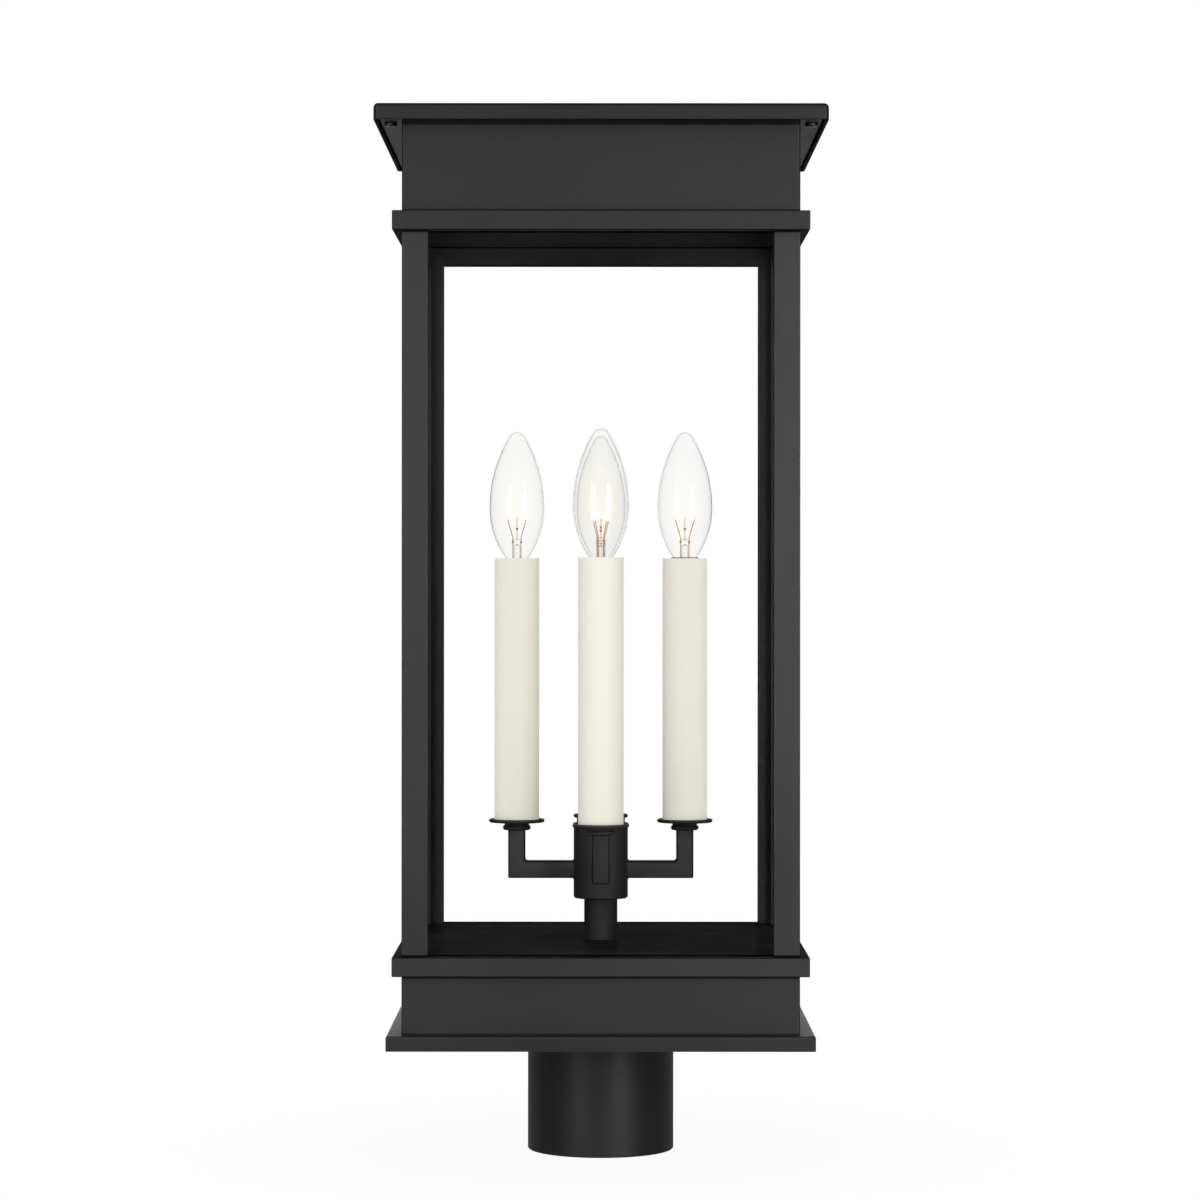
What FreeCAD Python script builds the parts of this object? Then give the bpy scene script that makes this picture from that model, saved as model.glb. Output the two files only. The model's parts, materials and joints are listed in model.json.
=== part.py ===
"""Post top lantern: a square glazed frame on a round post fitter, with four candle lights inside.

Everything is in millimetres. +Z is up and the front of the lantern faces -Y.
The origin is the centre of the fitter's mouth, where the post goes in.
Sizes stand in the sheet "Sizes"; every sketch, pad and placement is bound to its cells.
"""
import FreeCAD, Part

import math
import os

import Sketcher

doc = FreeCAD.newDocument("PostTopLantern")

# --------------------------------------------------------------------------------------
# Driving dimensions
# --------------------------------------------------------------------------------------

DIMENSIONS = [
    # the square frame
    ("box_width", 211.0, "width of the frieze, the corner posts and the base box"),
    ("collar_overhang", 5.0, "how far the two collars stand out from the box"),
    ("collar_height", 10.3, "height of a collar"),
    ("post_length", 384.3, "length of a corner post, between the collars"),
    ("post_leg", 13.7, "width of a leg of a corner post"),
    ("post_sheet", 2.0, "thickness of a corner post"),
    ("frieze_height", 46.8, "from the upper collar to the lip of the roof"),
    ("base_height", 31.0, "height of the base box"),
    ("sheet", 1.5, "thickness of the folded sheet metal"),
    ("fold_radius", 1.2, "outer radius of a fold in the boxes"),
    ("bar_round", 0.6, "rounding of the collars' edges"),
    ("base_flange", 13.0, "width of the turned-in edges of the base box"),
    # the roof
    ("roof_overhang", 14.3, "how far the roof stands out from the frieze"),
    ("roof_height", 8.7, "height of the roof's edge"),
    ("roof_round", 2.5, "rounding of the roof's top edge and corners"),
    ("soffit_recess", 2.0, "from the roof's lip up to the soffit"),
    ("soffit_gap", 1.0, "gap between the soffit and the roof's lip"),
    ("soffit_ledge", 7.5, "how far the soffit plate reaches in from the frieze's faces"),
    ("roof_screw_out", 6.8, "roof screws, out from the frieze's side faces"),
    ("roof_screw_in", 17.5, "roof screws, in from the frieze's front and back faces"),
    ("roof_screw_size", 4.0, "diameter of a roof screw's shank"),
    ("roof_screw_head", 7.0, "diameter of a roof screw's head"),
    ("roof_boss", 10.0, "diameter of a threaded boss under the roof"),
    # the bottom plate and the fitter
    ("plate_overhang", 8.0, "how far the bottom plate stands out from the base box"),
    ("plate_height", 8.0, "height of the bottom plate's edge"),
    ("plate_round", 1.2, "rounding of the bottom plate's top edge and corners"),
    ("fitter_bore", 77.4, "bore of the fitter, for a 76.2 post"),
    ("fitter_wall", 1.8, "wall of the fitter"),
    ("fitter_height", 67.0, "from the fitter's mouth to the bottom plate's lip"),
    ("flange_reach", 21.5, "how far the fitter's flange stands out from its tube"),
    ("flange_thick", 3.0, "thickness of the fitter's flange"),
    ("flange_bore", 40.0, "hole in the flange that the wires pass"),
    ("flange_screw_out", 11.5, "flange screws, out from the fitter's tube"),
    ("flange_screw", 5.0, "diameter of a flange screw"),
    ("clamp_screw", 5.0, "diameter of a set screw"),
    ("clamp_screw_length", 3.0, "length of a set screw"),
    ("clamp_height", 24.0, "height of the set screws above the mouth"),
    # glazing
    ("pane_thick", 3.0, "thickness of the glass"),
    ("pane_play", 0.2, "play of a pane against the posts"),
    ("pane_head_gap", 0.2, "gap above a pane"),
    ("bead_sheet", 1.2, "thickness of the strips that hold the panes"),
    ("bead_reach", 6.0, "how far the strips reach up into the upper collar"),
    # the stem and the hub
    ("stem_width", 18.5, "diameter of the stem"),
    ("stem_wall", 1.6, "wall of the stem"),
    ("stem_length", 22.9, "from the floor to the hub"),
    ("rod_width", 9.9, "diameter of the threaded pipe inside the stem"),
    ("rod_bore", 6.4, "bore of the threaded pipe"),
    ("hub_width", 30.2, "diameter of the hub"),
    ("hub_height", 41.8, "height of the hub"),
    ("hub_wall", 3.0, "wall of the hub"),
    ("hub_cap_step", 1.7, "how far the hub's cap is set in from the hub's side"),
    ("hub_cap_height", 4.0, "height of the hub's cap"),
    ("nut_flats", 14.0, "width across the flats of a locknut"),
    ("nut_height", 4.0, "height of a locknut"),
    # the candle arms
    ("candle_reach", 46.8, "from the axis of the hub to the axis of a candle"),
    ("arm_bar", 9.5, "width of the square bar of an arm"),
    ("arm_rise", 11.2, "from the hub's foot to the underside of an arm"),
    ("arm_height", 26.5, "height of an arm"),
    ("arm_edge", 0.8, "rounding of the arm's edges"),
    ("arm_wire_bore", 5.5, "wire way drilled through an arm"),
    ("seat_width", 15.5, "diameter of the seat collar on an arm"),
    ("seat_height", 4.3, "height of the seat collar"),
    ("disc_overhang", 3.1, "how far a drip disc stands out from its sleeve"),
    ("disc_height", 2.0, "height of a drip disc's rim"),
    ("disc_sheet", 1.2, "thickness of a drip disc"),
    ("sleeve_width", 24.8, "diameter of a candle sleeve"),
    ("sleeve_wall", 1.2, "wall of a candle sleeve"),
    ("sleeve_length", 145.9, "length of a candle sleeve"),
    # the sockets
    ("nipple_width", 9.7, "diameter of the threaded nipple"),
    ("nipple_length", 12.0, "length of the threaded nipple"),
    ("socket_room", 2.0, "room between a socket's body and its sleeve"),
    ("socket_length", 30.0, "length of a socket's body"),
    ("socket_depth", 1.0, "from the sleeve's top down to the socket's top"),
    ("shell_bore", 12.1, "bore of a socket's screw shell"),
    ("shell_wall", 0.4, "wall of a socket's screw shell"),
    ("shell_length", 17.0, "length of a socket's screw shell"),
    # the bulbs
    ("cap_play", 0.1, "play of a bulb's screw cap in its screw shell"),
    ("cap_height", 15.5, "length of a bulb's screw cap"),
    ("bulb_width", 30.8, "largest diameter of a bulb"),
    ("bulb_belly", 28.1, "from the sleeve's top up to the widest part of a bulb"),
    ("bulb_height", 70.5, "from the sleeve's top up to a bulb's tip"),
    ("bulb_tip_radius", 5.0, "radius of a bulb's tip"),
    ("neck_play", 0.15, "play of a bulb's neck in its socket"),
    ("bulb_wall", 0.7, "wall of a bulb's glass"),
    ("mount_height", 10.7, "from the sleeve's top up to the top of a bulb's glass mount"),
    ("filament_height", 25.3, "from the sleeve's top up to the ends of the lead wires"),
    ("filament_reach", 5.9, "from a bulb's axis to the end of a lead wire"),
    ("wire_width", 0.6, "diameter of a bulb's lead wires"),
    # clearances
    ("running_gap", 0.05, "radial clearance of a screw in its thread"),
    ("hole_gap", 0.25, "radial clearance of a screw or pipe in a plain hole"),
]

sheet = doc.addObject("Spreadsheet::Sheet", "Sizes")


class Size:
    """A value from the sheet together with the formula that gives it."""

    def __init__(self, value, formula):
        self.value = float(value)
        self.formula = formula

    def __add__(self, other):
        other = as_size(other)
        return Size(self.value + other.value, f"({self.formula} + {other.formula})")

    def __sub__(self, other):
        other = as_size(other)
        return Size(self.value - other.value, f"({self.formula} - {other.formula})")

    def __mul__(self, factor):
        factor = as_size(factor)
        return Size(self.value * factor.value, f"({self.formula} * {factor.formula})")

    def __truediv__(self, divisor):
        divisor = as_size(divisor)
        return Size(self.value / divisor.value, f"({self.formula} / {divisor.formula})")

    def __neg__(self):
        return self * -1


def as_size(value):
    """Returns a plain number as a Size, and a Size as it is."""
    if isinstance(value, Size):
        return value
    return Size(value, f"({value})" if value < 0 else str(value))


def fill_sheet():
    """Writes every driving dimension into the sheet and returns them by name."""
    named = {}
    for row, (name, value, note) in enumerate(DIMENSIONS, start=1):
        sheet.set(f"A{row}", name)
        sheet.set(f"B{row}", str(value))
        sheet.set(f"C{row}", note)
        sheet.setAlias(f"B{row}", name)
        named[name] = Size(value, f"Sizes.{name}")
    doc.recompute()
    return named


D = fill_sheet()

# --------------------------------------------------------------------------------------
# Derived levels and positions
# --------------------------------------------------------------------------------------

PLATE_TOP = D["fitter_height"] + D["plate_height"]
BASE_TOP = PLATE_TOP + D["base_height"]
FLOOR = BASE_TOP + D["collar_height"]
POST_TOP = FLOOR + D["post_length"]
FRIEZE_FOOT = POST_TOP + D["collar_height"]
ROOF_LIP = FRIEZE_FOOT + D["frieze_height"]
SOFFIT = ROOF_LIP + D["soffit_recess"]

HALF_BOX = D["box_width"] / 2
COLLAR_WIDTH = D["box_width"] + D["collar_overhang"] * 2
ROOF_WIDTH = D["box_width"] + D["roof_overhang"] * 2
SOFFIT_OPENING = D["box_width"] - D["soffit_ledge"] * 2
ROOF_SCREW_X = HALF_BOX + D["roof_screw_out"]
ROOF_SCREW_Y = HALF_BOX - D["roof_screw_in"]
PLATE_WIDTH = D["box_width"] + D["plate_overhang"] * 2
FITTER_WIDTH = D["fitter_bore"] + D["fitter_wall"] * 2
FLANGE_WIDTH = FITTER_WIDTH + D["flange_reach"] * 2
FLANGE_CIRCLE = FITTER_WIDTH + D["flange_screw_out"] * 2

PANE_OUTER = HALF_BOX - D["post_sheet"] - D["pane_play"]
PANE_INNER = PANE_OUTER - D["pane_thick"]
COLLAR_OPENING = PANE_INNER * 2
PANE_HEIGHT = D["post_length"] - D["pane_head_gap"]

HUB_FOOT = FLOOR + D["stem_length"]
HUB_TOP = HUB_FOOT + D["hub_height"]
HUB_BORE = D["hub_width"] - D["hub_wall"] * 2
HUB_CAP_WIDTH = D["hub_width"] - D["hub_cap_step"] * 2
ARM_FOOT = HUB_FOOT + D["arm_rise"]
SEAT = ARM_FOOT + D["arm_height"]
DISC = SEAT + D["seat_height"]
DISC_WIDTH = D["sleeve_width"] + D["disc_overhang"] * 2
SLEEVE_FOOT = DISC + D["disc_sheet"]
SLEEVE_TOP = SLEEVE_FOOT + D["sleeve_length"]
SLEEVE_BORE = D["sleeve_width"] - D["sleeve_wall"] * 2
SOCKET_TOP = SLEEVE_TOP - D["socket_depth"]
SOCKET_FOOT = SOCKET_TOP - D["socket_length"]
SOCKET_WIDTH = SLEEVE_BORE - D["socket_room"] * 2
SHELL_WIDTH = D["shell_bore"] + D["shell_wall"] * 2

SCREW_HEAD_WIDTH = 1.8      # in diameters of the screw
SCREW_HEAD_HEIGHT = 0.6     # in diameters of the screw
NUT_FLATS = 1.6             # in diameters of the screw
NUT_HEIGHT = 0.8            # in diameters of the screw
THREAD_END = 1.0            # how far a thread stands out of its nut
WASHER_THICK = 1.5
WASHER_WIDTH = 1.6          # in widths across the flats of the locknut
HUB_LIP = 0.4               # how far the bead at the hub's top stands out
HUB_BEAD = 1.6              # height of that bead
BUSH_LIP = 1.2              # how far the wire bush stands out from the threaded pipe
BUSH_WALL = 0.6
BUSH_HEIGHT = 2.0           # of the bush, above and below the threaded pipe's end
DISC_FLAT = 0.6             # flat of a drip disc around its sleeve
DISC_LIP = 1.0              # width of a drip disc's rim
NIPPLE_THREAD = 3.2         # how deep the nipple is screwed into the seat collar
BRACKET_FOOT = 4.0          # height of the bracket's threaded foot
BRACKET_SHEET = 1.0
CONTACT_SHEET = 0.5
SHELL_LIP = 1.0             # how far a screw shell stops below its socket's top
WEB = 2.0                   # thickness of the web inside a socket's body
CAP_BASE = 1.0              # thickness of a bulb cap's base
MOUNT_STEP = 1.0            # height of the flare's foot and of the bevel at the mount's top

SHELL_FOOT = SOCKET_TOP - D["shell_length"]
WEB_FOOT = SHELL_FOOT - WEB * 2
CONTACT_FOOT = WEB_FOOT + WEB
NECK_DEPTH = D["socket_depth"] + D["running_gap"] * 4
CAP_TOP = SLEEVE_TOP - NECK_DEPTH
CAP_FOOT = CAP_TOP - D["cap_height"]
CAP_TIP = CAP_FOOT - CONTACT_FOOT - CONTACT_SHEET - D["running_gap"]
CAP_WIDTH = D["shell_bore"] - D["cap_play"] * 2

# below its widest part a bulb is one arc that starts at its neck, at the sleeve's top
BULB_NECK = SHELL_WIDTH - D["neck_play"] * 2
BULB_SHOULDER = (D["bulb_width"] - BULB_NECK) / 2
BULB_FOOT_RADIUS = (D["bulb_belly"] * D["bulb_belly"] / BULB_SHOULDER + BULB_SHOULDER) / 2

# the four sides of the lantern, each with its direction in degrees, seen from above
SIDES = [("front", -90), ("right", 0), ("back", 90), ("left", 180)]
# the set screws: the outer two stand behind the fitter's sides, so that none shows from the front
CLAMP_SIDES = [("right", 20), ("back", 90), ("left", 160)]
QUADRANTS = [(1, 1), (-1, 1), (-1, -1), (1, -1)]

parts = []


# --------------------------------------------------------------------------------------
# Modelling helpers
# --------------------------------------------------------------------------------------

def bind(item, prop, size):
    """Ties a property to the formula of a size."""
    item.setExpression(prop, as_size(size).formula)


def new_body(label, z, x=0, y=0, rotation=None):
    """Starts a sub-part: a body whose own origin stands at x, y, z."""
    body = doc.addObject("PartDesign::Body", label)
    body.Label = label
    if rotation is not None:
        body.Placement = FreeCAD.Placement(FreeCAD.Vector(), rotation)
    for axis, size in (("x", x), ("y", y), ("z", z)):
        bind(body, f"Placement.Base.{axis}", size)
    parts.append(body)
    return body


def origin_part(body, role):
    """Finds one of the body's own origin planes or axes."""
    return next(f for f in body.Origin.OriginFeatures if f.Role == role)


def new_sketch(body, role="XY_Plane", lift=None, turn=0):
    """Attaches a sketch to one of the body's origin planes, lifted off it or turned if asked."""
    sketch = body.newObject("Sketcher::SketchObject", f"{body.Name}_sketch")
    sketch.AttachmentSupport = [(origin_part(body, role), "")]
    sketch.MapMode = "FlatFace"
    if turn:
        rotation = FreeCAD.Rotation(FreeCAD.Vector(0, 1, 0), turn)
        sketch.AttachmentOffset = FreeCAD.Placement(FreeCAD.Vector(), rotation)
    if lift is not None:
        bind(sketch, "AttachmentOffset.Base.z", lift)
    return sketch


def place_point(sketch, curve, point, x, y):
    """Fixes a point of a curve at x, y from the sketch's origin."""
    for kind, axis, size in (("DistanceX", -2, as_size(x)), ("DistanceY", -1, as_size(y))):
        if abs(size.value) < 1e-9:
            sketch.addConstraint(Sketcher.Constraint("PointOnObject", curve, point, axis))
        else:
            index = sketch.addConstraint(
                Sketcher.Constraint(kind, -1, 1, curve, point, size.value))
            sketch.setExpression(f"Constraints[{index}]", size.formula)


def polygon(sketch, corners):
    """Draws a closed outline of straight lines through the corners."""
    points = [FreeCAD.Vector(as_size(x).value, as_size(y).value, 0) for x, y in corners]
    count = len(points)
    lines = []
    for i in range(count):
        line = Part.LineSegment(points[i], points[(i + 1) % count])
        lines.append(sketch.addGeometry(line, False))
    for i in range(count):
        sketch.addConstraint(
            Sketcher.Constraint("Coincident", lines[i], 2, lines[(i + 1) % count], 1))
    for line, (x, y) in zip(lines, corners):
        place_point(sketch, line, 1, x, y)


def rectangle(sketch, width, depth, x=0, y=0):
    """Draws a rectangle centred on x, y."""
    x = as_size(x)
    y = as_size(y)
    half_width = as_size(width) / 2
    half_depth = as_size(depth) / 2
    polygon(sketch, [(x + half_width, y + half_depth), (x - half_width, y + half_depth),
                     (x - half_width, y - half_depth), (x + half_width, y - half_depth)])


def square(sketch, width):
    """Draws a square centred on the origin."""
    rectangle(sketch, width, width)


def circle(sketch, diameter, x=0, y=0):
    """Draws a circle of a given diameter centred on x, y."""
    x = as_size(x)
    y = as_size(y)
    diameter = as_size(diameter)
    centre = FreeCAD.Vector(x.value, y.value, 0)
    curve = sketch.addGeometry(
        Part.Circle(centre, FreeCAD.Vector(0, 0, 1), diameter.value / 2), False)
    place_point(sketch, curve, 3, x, y)
    index = sketch.addConstraint(Sketcher.Constraint("Diameter", curve, diameter.value))
    sketch.setExpression(f"Constraints[{index}]", diameter.formula)


def hexagon(sketch, flats, x=0, y=0):
    """Draws a hexagon of a given width across its flats, centred on x, y."""
    flats = as_size(flats)
    corner = flats / math.sqrt(3)
    turns = [math.radians(60 * i) for i in range(6)]
    polygon(sketch, [(as_size(x) + corner * round(math.cos(t), 6),
                      as_size(y) + corner * round(math.sin(t), 6)) for t in turns])


def pad(body, sketch, length, down=False):
    """Adds material from a sketch, upwards or downwards."""
    feature = body.newObject("PartDesign::Pad", f"{body.Name}_pad")
    feature.Profile = (sketch, [""])
    feature.Reversed = down
    bind(feature, "Length", length)
    doc.recompute()
    return feature


def pad_both_ways(body, sketch, length):
    """Adds material from a sketch, half of it on each side of the sketch's plane."""
    feature = pad(body, sketch, length)
    feature.Midplane = True
    doc.recompute()
    return feature


def cut(body, sketch, depth, up=True):
    """Cuts a pocket from a sketch, and checks that it takes material away."""
    before = body.Shape.Volume
    feature = body.newObject("PartDesign::Pocket", f"{body.Name}_pocket")
    feature.Profile = (sketch, [""])
    feature.Reversed = up
    bind(feature, "Length", depth)
    doc.recompute()
    if body.Shape.Volume >= before - 1e-6:
        raise RuntimeError(f"{body.Label}: a pocket cuts nothing")
    return feature


def revolve(body, sketch, kind="PartDesign::Revolution"):
    """Turns a profile about the sketch's vertical axis."""
    feature = body.newObject(kind, f"{body.Name}_turned")
    feature.Profile = (sketch, [""])
    feature.ReferenceAxis = (sketch, ["V_Axis"])
    feature.Angle = 360
    doc.recompute()
    return feature


def turned(body, corners):
    """Turns a closed profile of straight lines, given as radius and height."""
    sketch = new_sketch(body, "XZ_Plane")
    polygon(sketch, corners)
    return revolve(body, sketch)


def dress_edges(body, kind, prop, size, wanted):
    """Dresses the edges of the body's last feature that the test picks."""
    base = body.Tip
    names = [f"Edge{i}" for i, edge in enumerate(base.Shape.Edges, start=1) if wanted(edge)]
    if not names:
        raise RuntimeError(f"{body.Label}: no edge to dress")
    feature = body.newObject(kind, f"{body.Name}_edges")
    feature.Base = (base, names)
    bind(feature, prop, size)
    doc.recompute()


def round_edges(body, radius, wanted):
    """Rounds the picked edges."""
    dress_edges(body, "PartDesign::Fillet", "Radius", radius, wanted)


def break_edges(body, size, wanted):
    """Bevels the picked edges."""
    dress_edges(body, "PartDesign::Chamfer", "Size", size, wanted)


def span(edge, axis):
    """The lowest and highest coordinate of an edge along an axis."""
    box = edge.BoundBox
    return getattr(box, axis + "Min"), getattr(box, axis + "Max")


def level(edge, z):
    """Whether an edge lies flat at height z."""
    low, high = span(edge, "Z")
    return abs(low - z) < 1e-3 and abs(high - z) < 1e-3


def upright(edge):
    """Whether an edge is a straight vertical line."""
    low, high = span(edge, "Z")
    return len(edge.Vertexes) == 2 and abs(high - low - edge.Length) < 1e-3


def outside(edge, half_width):
    """Whether an edge reaches the outer faces of a square of the given half width."""
    reach = max(abs(v) for axis in "XY" for v in span(edge, axis))
    return reach > half_width - 1e-3


def corner_spots(x, y):
    """Four spots, one in each quadrant."""
    return [(x * sx, y * sy) for sx, sy in QUADRANTS]


def candle_spot(side):
    """The candle axis on one side, seen from above."""
    turn = math.radians(dict(SIDES)[side])
    return D["candle_reach"] * round(math.cos(turn)), D["candle_reach"] * round(math.sin(turn))


def candle_spots():
    """The four candle axes, seen from above."""
    return [candle_spot(side) for side, _ in SIDES]


def turn_about_z(degrees):
    """A rotation about the vertical axis."""
    return FreeCAD.Rotation(FreeCAD.Vector(0, 0, 1), degrees)


# --------------------------------------------------------------------------------------
# Roof and frieze
# --------------------------------------------------------------------------------------

def folded_tray(body, width, height, radius):
    """A square tray of sheet metal, open below, with its lip turned down."""
    outline = new_sketch(body)
    square(outline, width)
    pad(body, outline, height)
    half = width.value / 2
    round_edges(body, radius, lambda e: outside(e, half) and (upright(e) or level(e, height.value)))
    hollow = new_sketch(body)
    square(hollow, width - D["sheet"] * 2)
    cut(body, hollow, height - D["sheet"])
    inner = half - D["sheet"].value
    round_edges(body, radius - D["sheet"] / 2,
                lambda e: upright(e) and not outside(e, inner + 0.5) and outside(e, inner))


def roof_cap():
    """The roof: a tray with four threaded bosses that stand on the soffit."""
    body = new_body("roof_cap", ROOF_LIP)
    folded_tray(body, ROOF_WIDTH, D["roof_height"], D["roof_round"])
    boss_length = D["roof_height"] - D["sheet"] * 2 - D["soffit_recess"]
    boss_foot = D["soffit_recess"] + D["sheet"]
    bosses = new_sketch(body, lift=boss_foot)
    threads = new_sketch(body, lift=boss_foot)
    for x, y in corner_spots(ROOF_SCREW_X, ROOF_SCREW_Y):
        circle(bosses, D["roof_boss"], x, y)
        circle(threads, D["roof_screw_size"] + D["running_gap"] * 2, x, y)
    pad(body, bosses, boss_length)
    cut(body, threads, boss_length)


def soffit_plate():
    """The square ring that closes the gap between the frieze and the roof's lip."""
    body = new_body("soffit_plate", SOFFIT)
    ring = new_sketch(body)
    square(ring, ROOF_WIDTH - D["sheet"] * 2 - D["soffit_gap"] * 2)
    square(ring, SOFFIT_OPENING)
    for x, y in corner_spots(ROOF_SCREW_X, ROOF_SCREW_Y):
        circle(ring, D["roof_screw_size"] + D["hole_gap"] * 2, x, y)
    pad(body, ring, D["sheet"])


def roof_screws():
    """Four pan head screws that hold the roof from below."""
    body = new_body("roof_screws", ROOF_LIP)
    heads = new_sketch(body)
    shanks = new_sketch(body, lift=D["soffit_recess"])
    for x, y in corner_spots(ROOF_SCREW_X, ROOF_SCREW_Y):
        circle(heads, D["roof_screw_head"], x, y)
        circle(shanks, D["roof_screw_size"], x, y)
    pad(body, heads, D["soffit_recess"])
    break_edges(body, D["soffit_recess"] / 3, lambda e: level(e, 0))
    shank_length = D["roof_height"] - D["sheet"] - D["soffit_recess"] - D["hole_gap"]
    pad(body, shanks, shank_length)


def square_tube(body, width, height):
    """A square tube of folded sheet with rounded folds."""
    ring = new_sketch(body)
    square(ring, width)
    square(ring, width - D["sheet"] * 2)
    pad(body, ring, height)
    half = width.value / 2
    round_edges(body, D["fold_radius"], lambda e: upright(e) and outside(e, half))


def frieze_box():
    """The tall plain band under the roof."""
    body = new_body("frieze_box", FRIEZE_FOOT)
    square_tube(body, D["box_width"], D["frieze_height"] + D["soffit_recess"])


def collar(label, foot):
    """A square frame of flat bar that the corner posts and panes stand against."""
    body = new_body(label, foot)
    ring = new_sketch(body)
    square(ring, COLLAR_WIDTH)
    square(ring, COLLAR_OPENING)
    pad(body, ring, D["collar_height"])
    half = COLLAR_WIDTH.value / 2
    round_edges(body, D["bar_round"], lambda e: outside(e, half))


# --------------------------------------------------------------------------------------
# Corner posts, glazing, floor
# --------------------------------------------------------------------------------------

def corner_post(label, turn):
    """An angle section that stands at one corner, drawn at the front right one."""
    body = new_body(label, FLOOR, rotation=turn_about_z(turn))
    edge = HALF_BOX
    leg = edge - D["post_leg"]
    inner = edge - D["post_sheet"]
    section = new_sketch(body)
    polygon(section, [(edge, -edge), (edge, -leg), (inner, -leg), (inner, -inner),
                      (leg, -inner), (leg, -edge)])
    pad(body, section, D["post_length"])
    round_edges(body, D["fold_radius"] / 2,
                lambda e: upright(e) and span(e, "X")[0] > edge.value - 1e-3
                and span(e, "Y")[0] < -edge.value + 1e-3)


def pane(side, turn):
    """A flat pane, drawn at the front. The side panes fit between the other two."""
    body = new_body(f"pane_{side}", FLOOR, rotation=turn_about_z(turn + 90))
    full_width = side in ("front", "back")
    width = PANE_OUTER * 2 if full_width else PANE_INNER * 2 - D["pane_play"] * 2
    section = new_sketch(body)
    rectangle(section, width, D["pane_thick"], 0, -(PANE_INNER + D["pane_thick"] / 2))
    pad(body, section, PANE_HEIGHT)


def glass_beads():
    """Four upright angle strips that hold the panes from inside, behind the corner posts."""
    body = new_body("glass_beads", FLOOR)
    section = new_sketch(body)
    outer = PANE_INNER
    inner = PANE_INNER - D["bead_sheet"]
    end = HALF_BOX - D["post_leg"]
    for sx, sy in QUADRANTS:
        corners = [(outer, outer), (end, outer), (end, inner), (inner, inner),
                   (inner, end), (outer, end)]
        polygon(section, [(x * sx, y * sy) for x, y in corners])
    pad(body, section, D["post_length"] + D["bead_reach"])


def floor_plate():
    """The floor: a tray inside the lower collar, standing on the base box."""
    body = new_body("floor_plate", BASE_TOP)
    folded_tray(body, COLLAR_OPENING - D["hole_gap"] * 2, D["collar_height"], D["fold_radius"])
    hole = new_sketch(body)
    circle(hole, D["rod_width"] + D["hole_gap"] * 2)
    cut(body, hole, D["collar_height"])


# --------------------------------------------------------------------------------------
# Base and fitter
# --------------------------------------------------------------------------------------

def base_box():
    """The band under the lower collar, with its edges turned in at the top and bottom."""
    body = new_body("base_box", PLATE_TOP)
    square_tube(body, D["box_width"], D["base_height"])
    flange_opening = D["box_width"] - D["base_flange"] * 2
    for lift in (as_size(0), D["base_height"] - D["sheet"]):
        flange = new_sketch(body, lift=lift)
        square(flange, D["box_width"] - D["sheet"] * 2)
        square(flange, flange_opening)
        pad(body, flange, D["sheet"])


def flange_spots():
    """The four flange screws, on the diagonals."""
    reach = FLANGE_CIRCLE / 2 * round(math.sqrt(0.5), 6)
    return corner_spots(reach, reach)


def bottom_plate():
    """The wide tray at the foot of the lantern, which carries the fitter's flange."""
    body = new_body("bottom_plate", D["fitter_height"])
    folded_tray(body, PLATE_WIDTH, D["plate_height"], D["plate_round"])
    holes = new_sketch(body)
    circle(holes, D["flange_bore"])
    for x, y in flange_spots():
        circle(holes, D["flange_screw"] + D["hole_gap"] * 2, x, y)
    cut(body, holes, D["plate_height"])


def post_fitter():
    """The cup that slides over the post: a tube with a flange that the post stops at."""
    body = new_body("post_fitter", 0)
    bore = D["fitter_bore"] / 2
    outer = FITTER_WIDTH / 2
    flange = FLANGE_WIDTH / 2
    top = PLATE_TOP - D["sheet"]
    stop = top - D["flange_thick"]
    wire_way = D["flange_bore"] / 2
    turned(body, [(bore, 0), (outer, 0), (outer, stop), (flange, stop), (flange, top),
                  (wire_way, top), (wire_way, stop), (bore, stop)])
    break_edges(body, D["fitter_wall"] / 3, lambda e: level(e, 0))
    holes = new_sketch(body, lift=stop)
    for x, y in flange_spots():
        circle(holes, D["flange_screw"] + D["hole_gap"] * 2, x, y)
    cut(body, holes, D["flange_thick"])
    thread = D["clamp_screw"] + D["running_gap"] * 2
    for _, turn in CLAMP_SIDES:
        clamp_hole = new_sketch(body, "YZ_Plane", turn=turn)
        circle(clamp_hole, thread, 0, D["clamp_height"])
        cut(body, clamp_hole, D["fitter_bore"])


def fitter_fasteners():
    """Four screws through the flange and the bottom plate, each with its nut above."""
    stop = PLATE_TOP - D["sheet"] - D["flange_thick"]
    body = new_body("fitter_fasteners", stop)
    nut_height = D["flange_screw"] * NUT_HEIGHT
    stack = D["flange_thick"] + D["sheet"]
    heads = new_sketch(body)
    shanks = new_sketch(body)
    nuts = new_sketch(body, lift=stack)
    for x, y in flange_spots():
        circle(heads, D["flange_screw"] * SCREW_HEAD_WIDTH, x, y)
        circle(shanks, D["flange_screw"], x, y)
        hexagon(nuts, D["flange_screw"] * NUT_FLATS, x, y)
        circle(nuts, D["flange_screw"] + D["running_gap"] * 2, x, y)
    pad(body, heads, D["flange_screw"] * SCREW_HEAD_HEIGHT, down=True)
    pad(body, shanks, stack + nut_height + THREAD_END)
    pad(body, nuts, nut_height)


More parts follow.
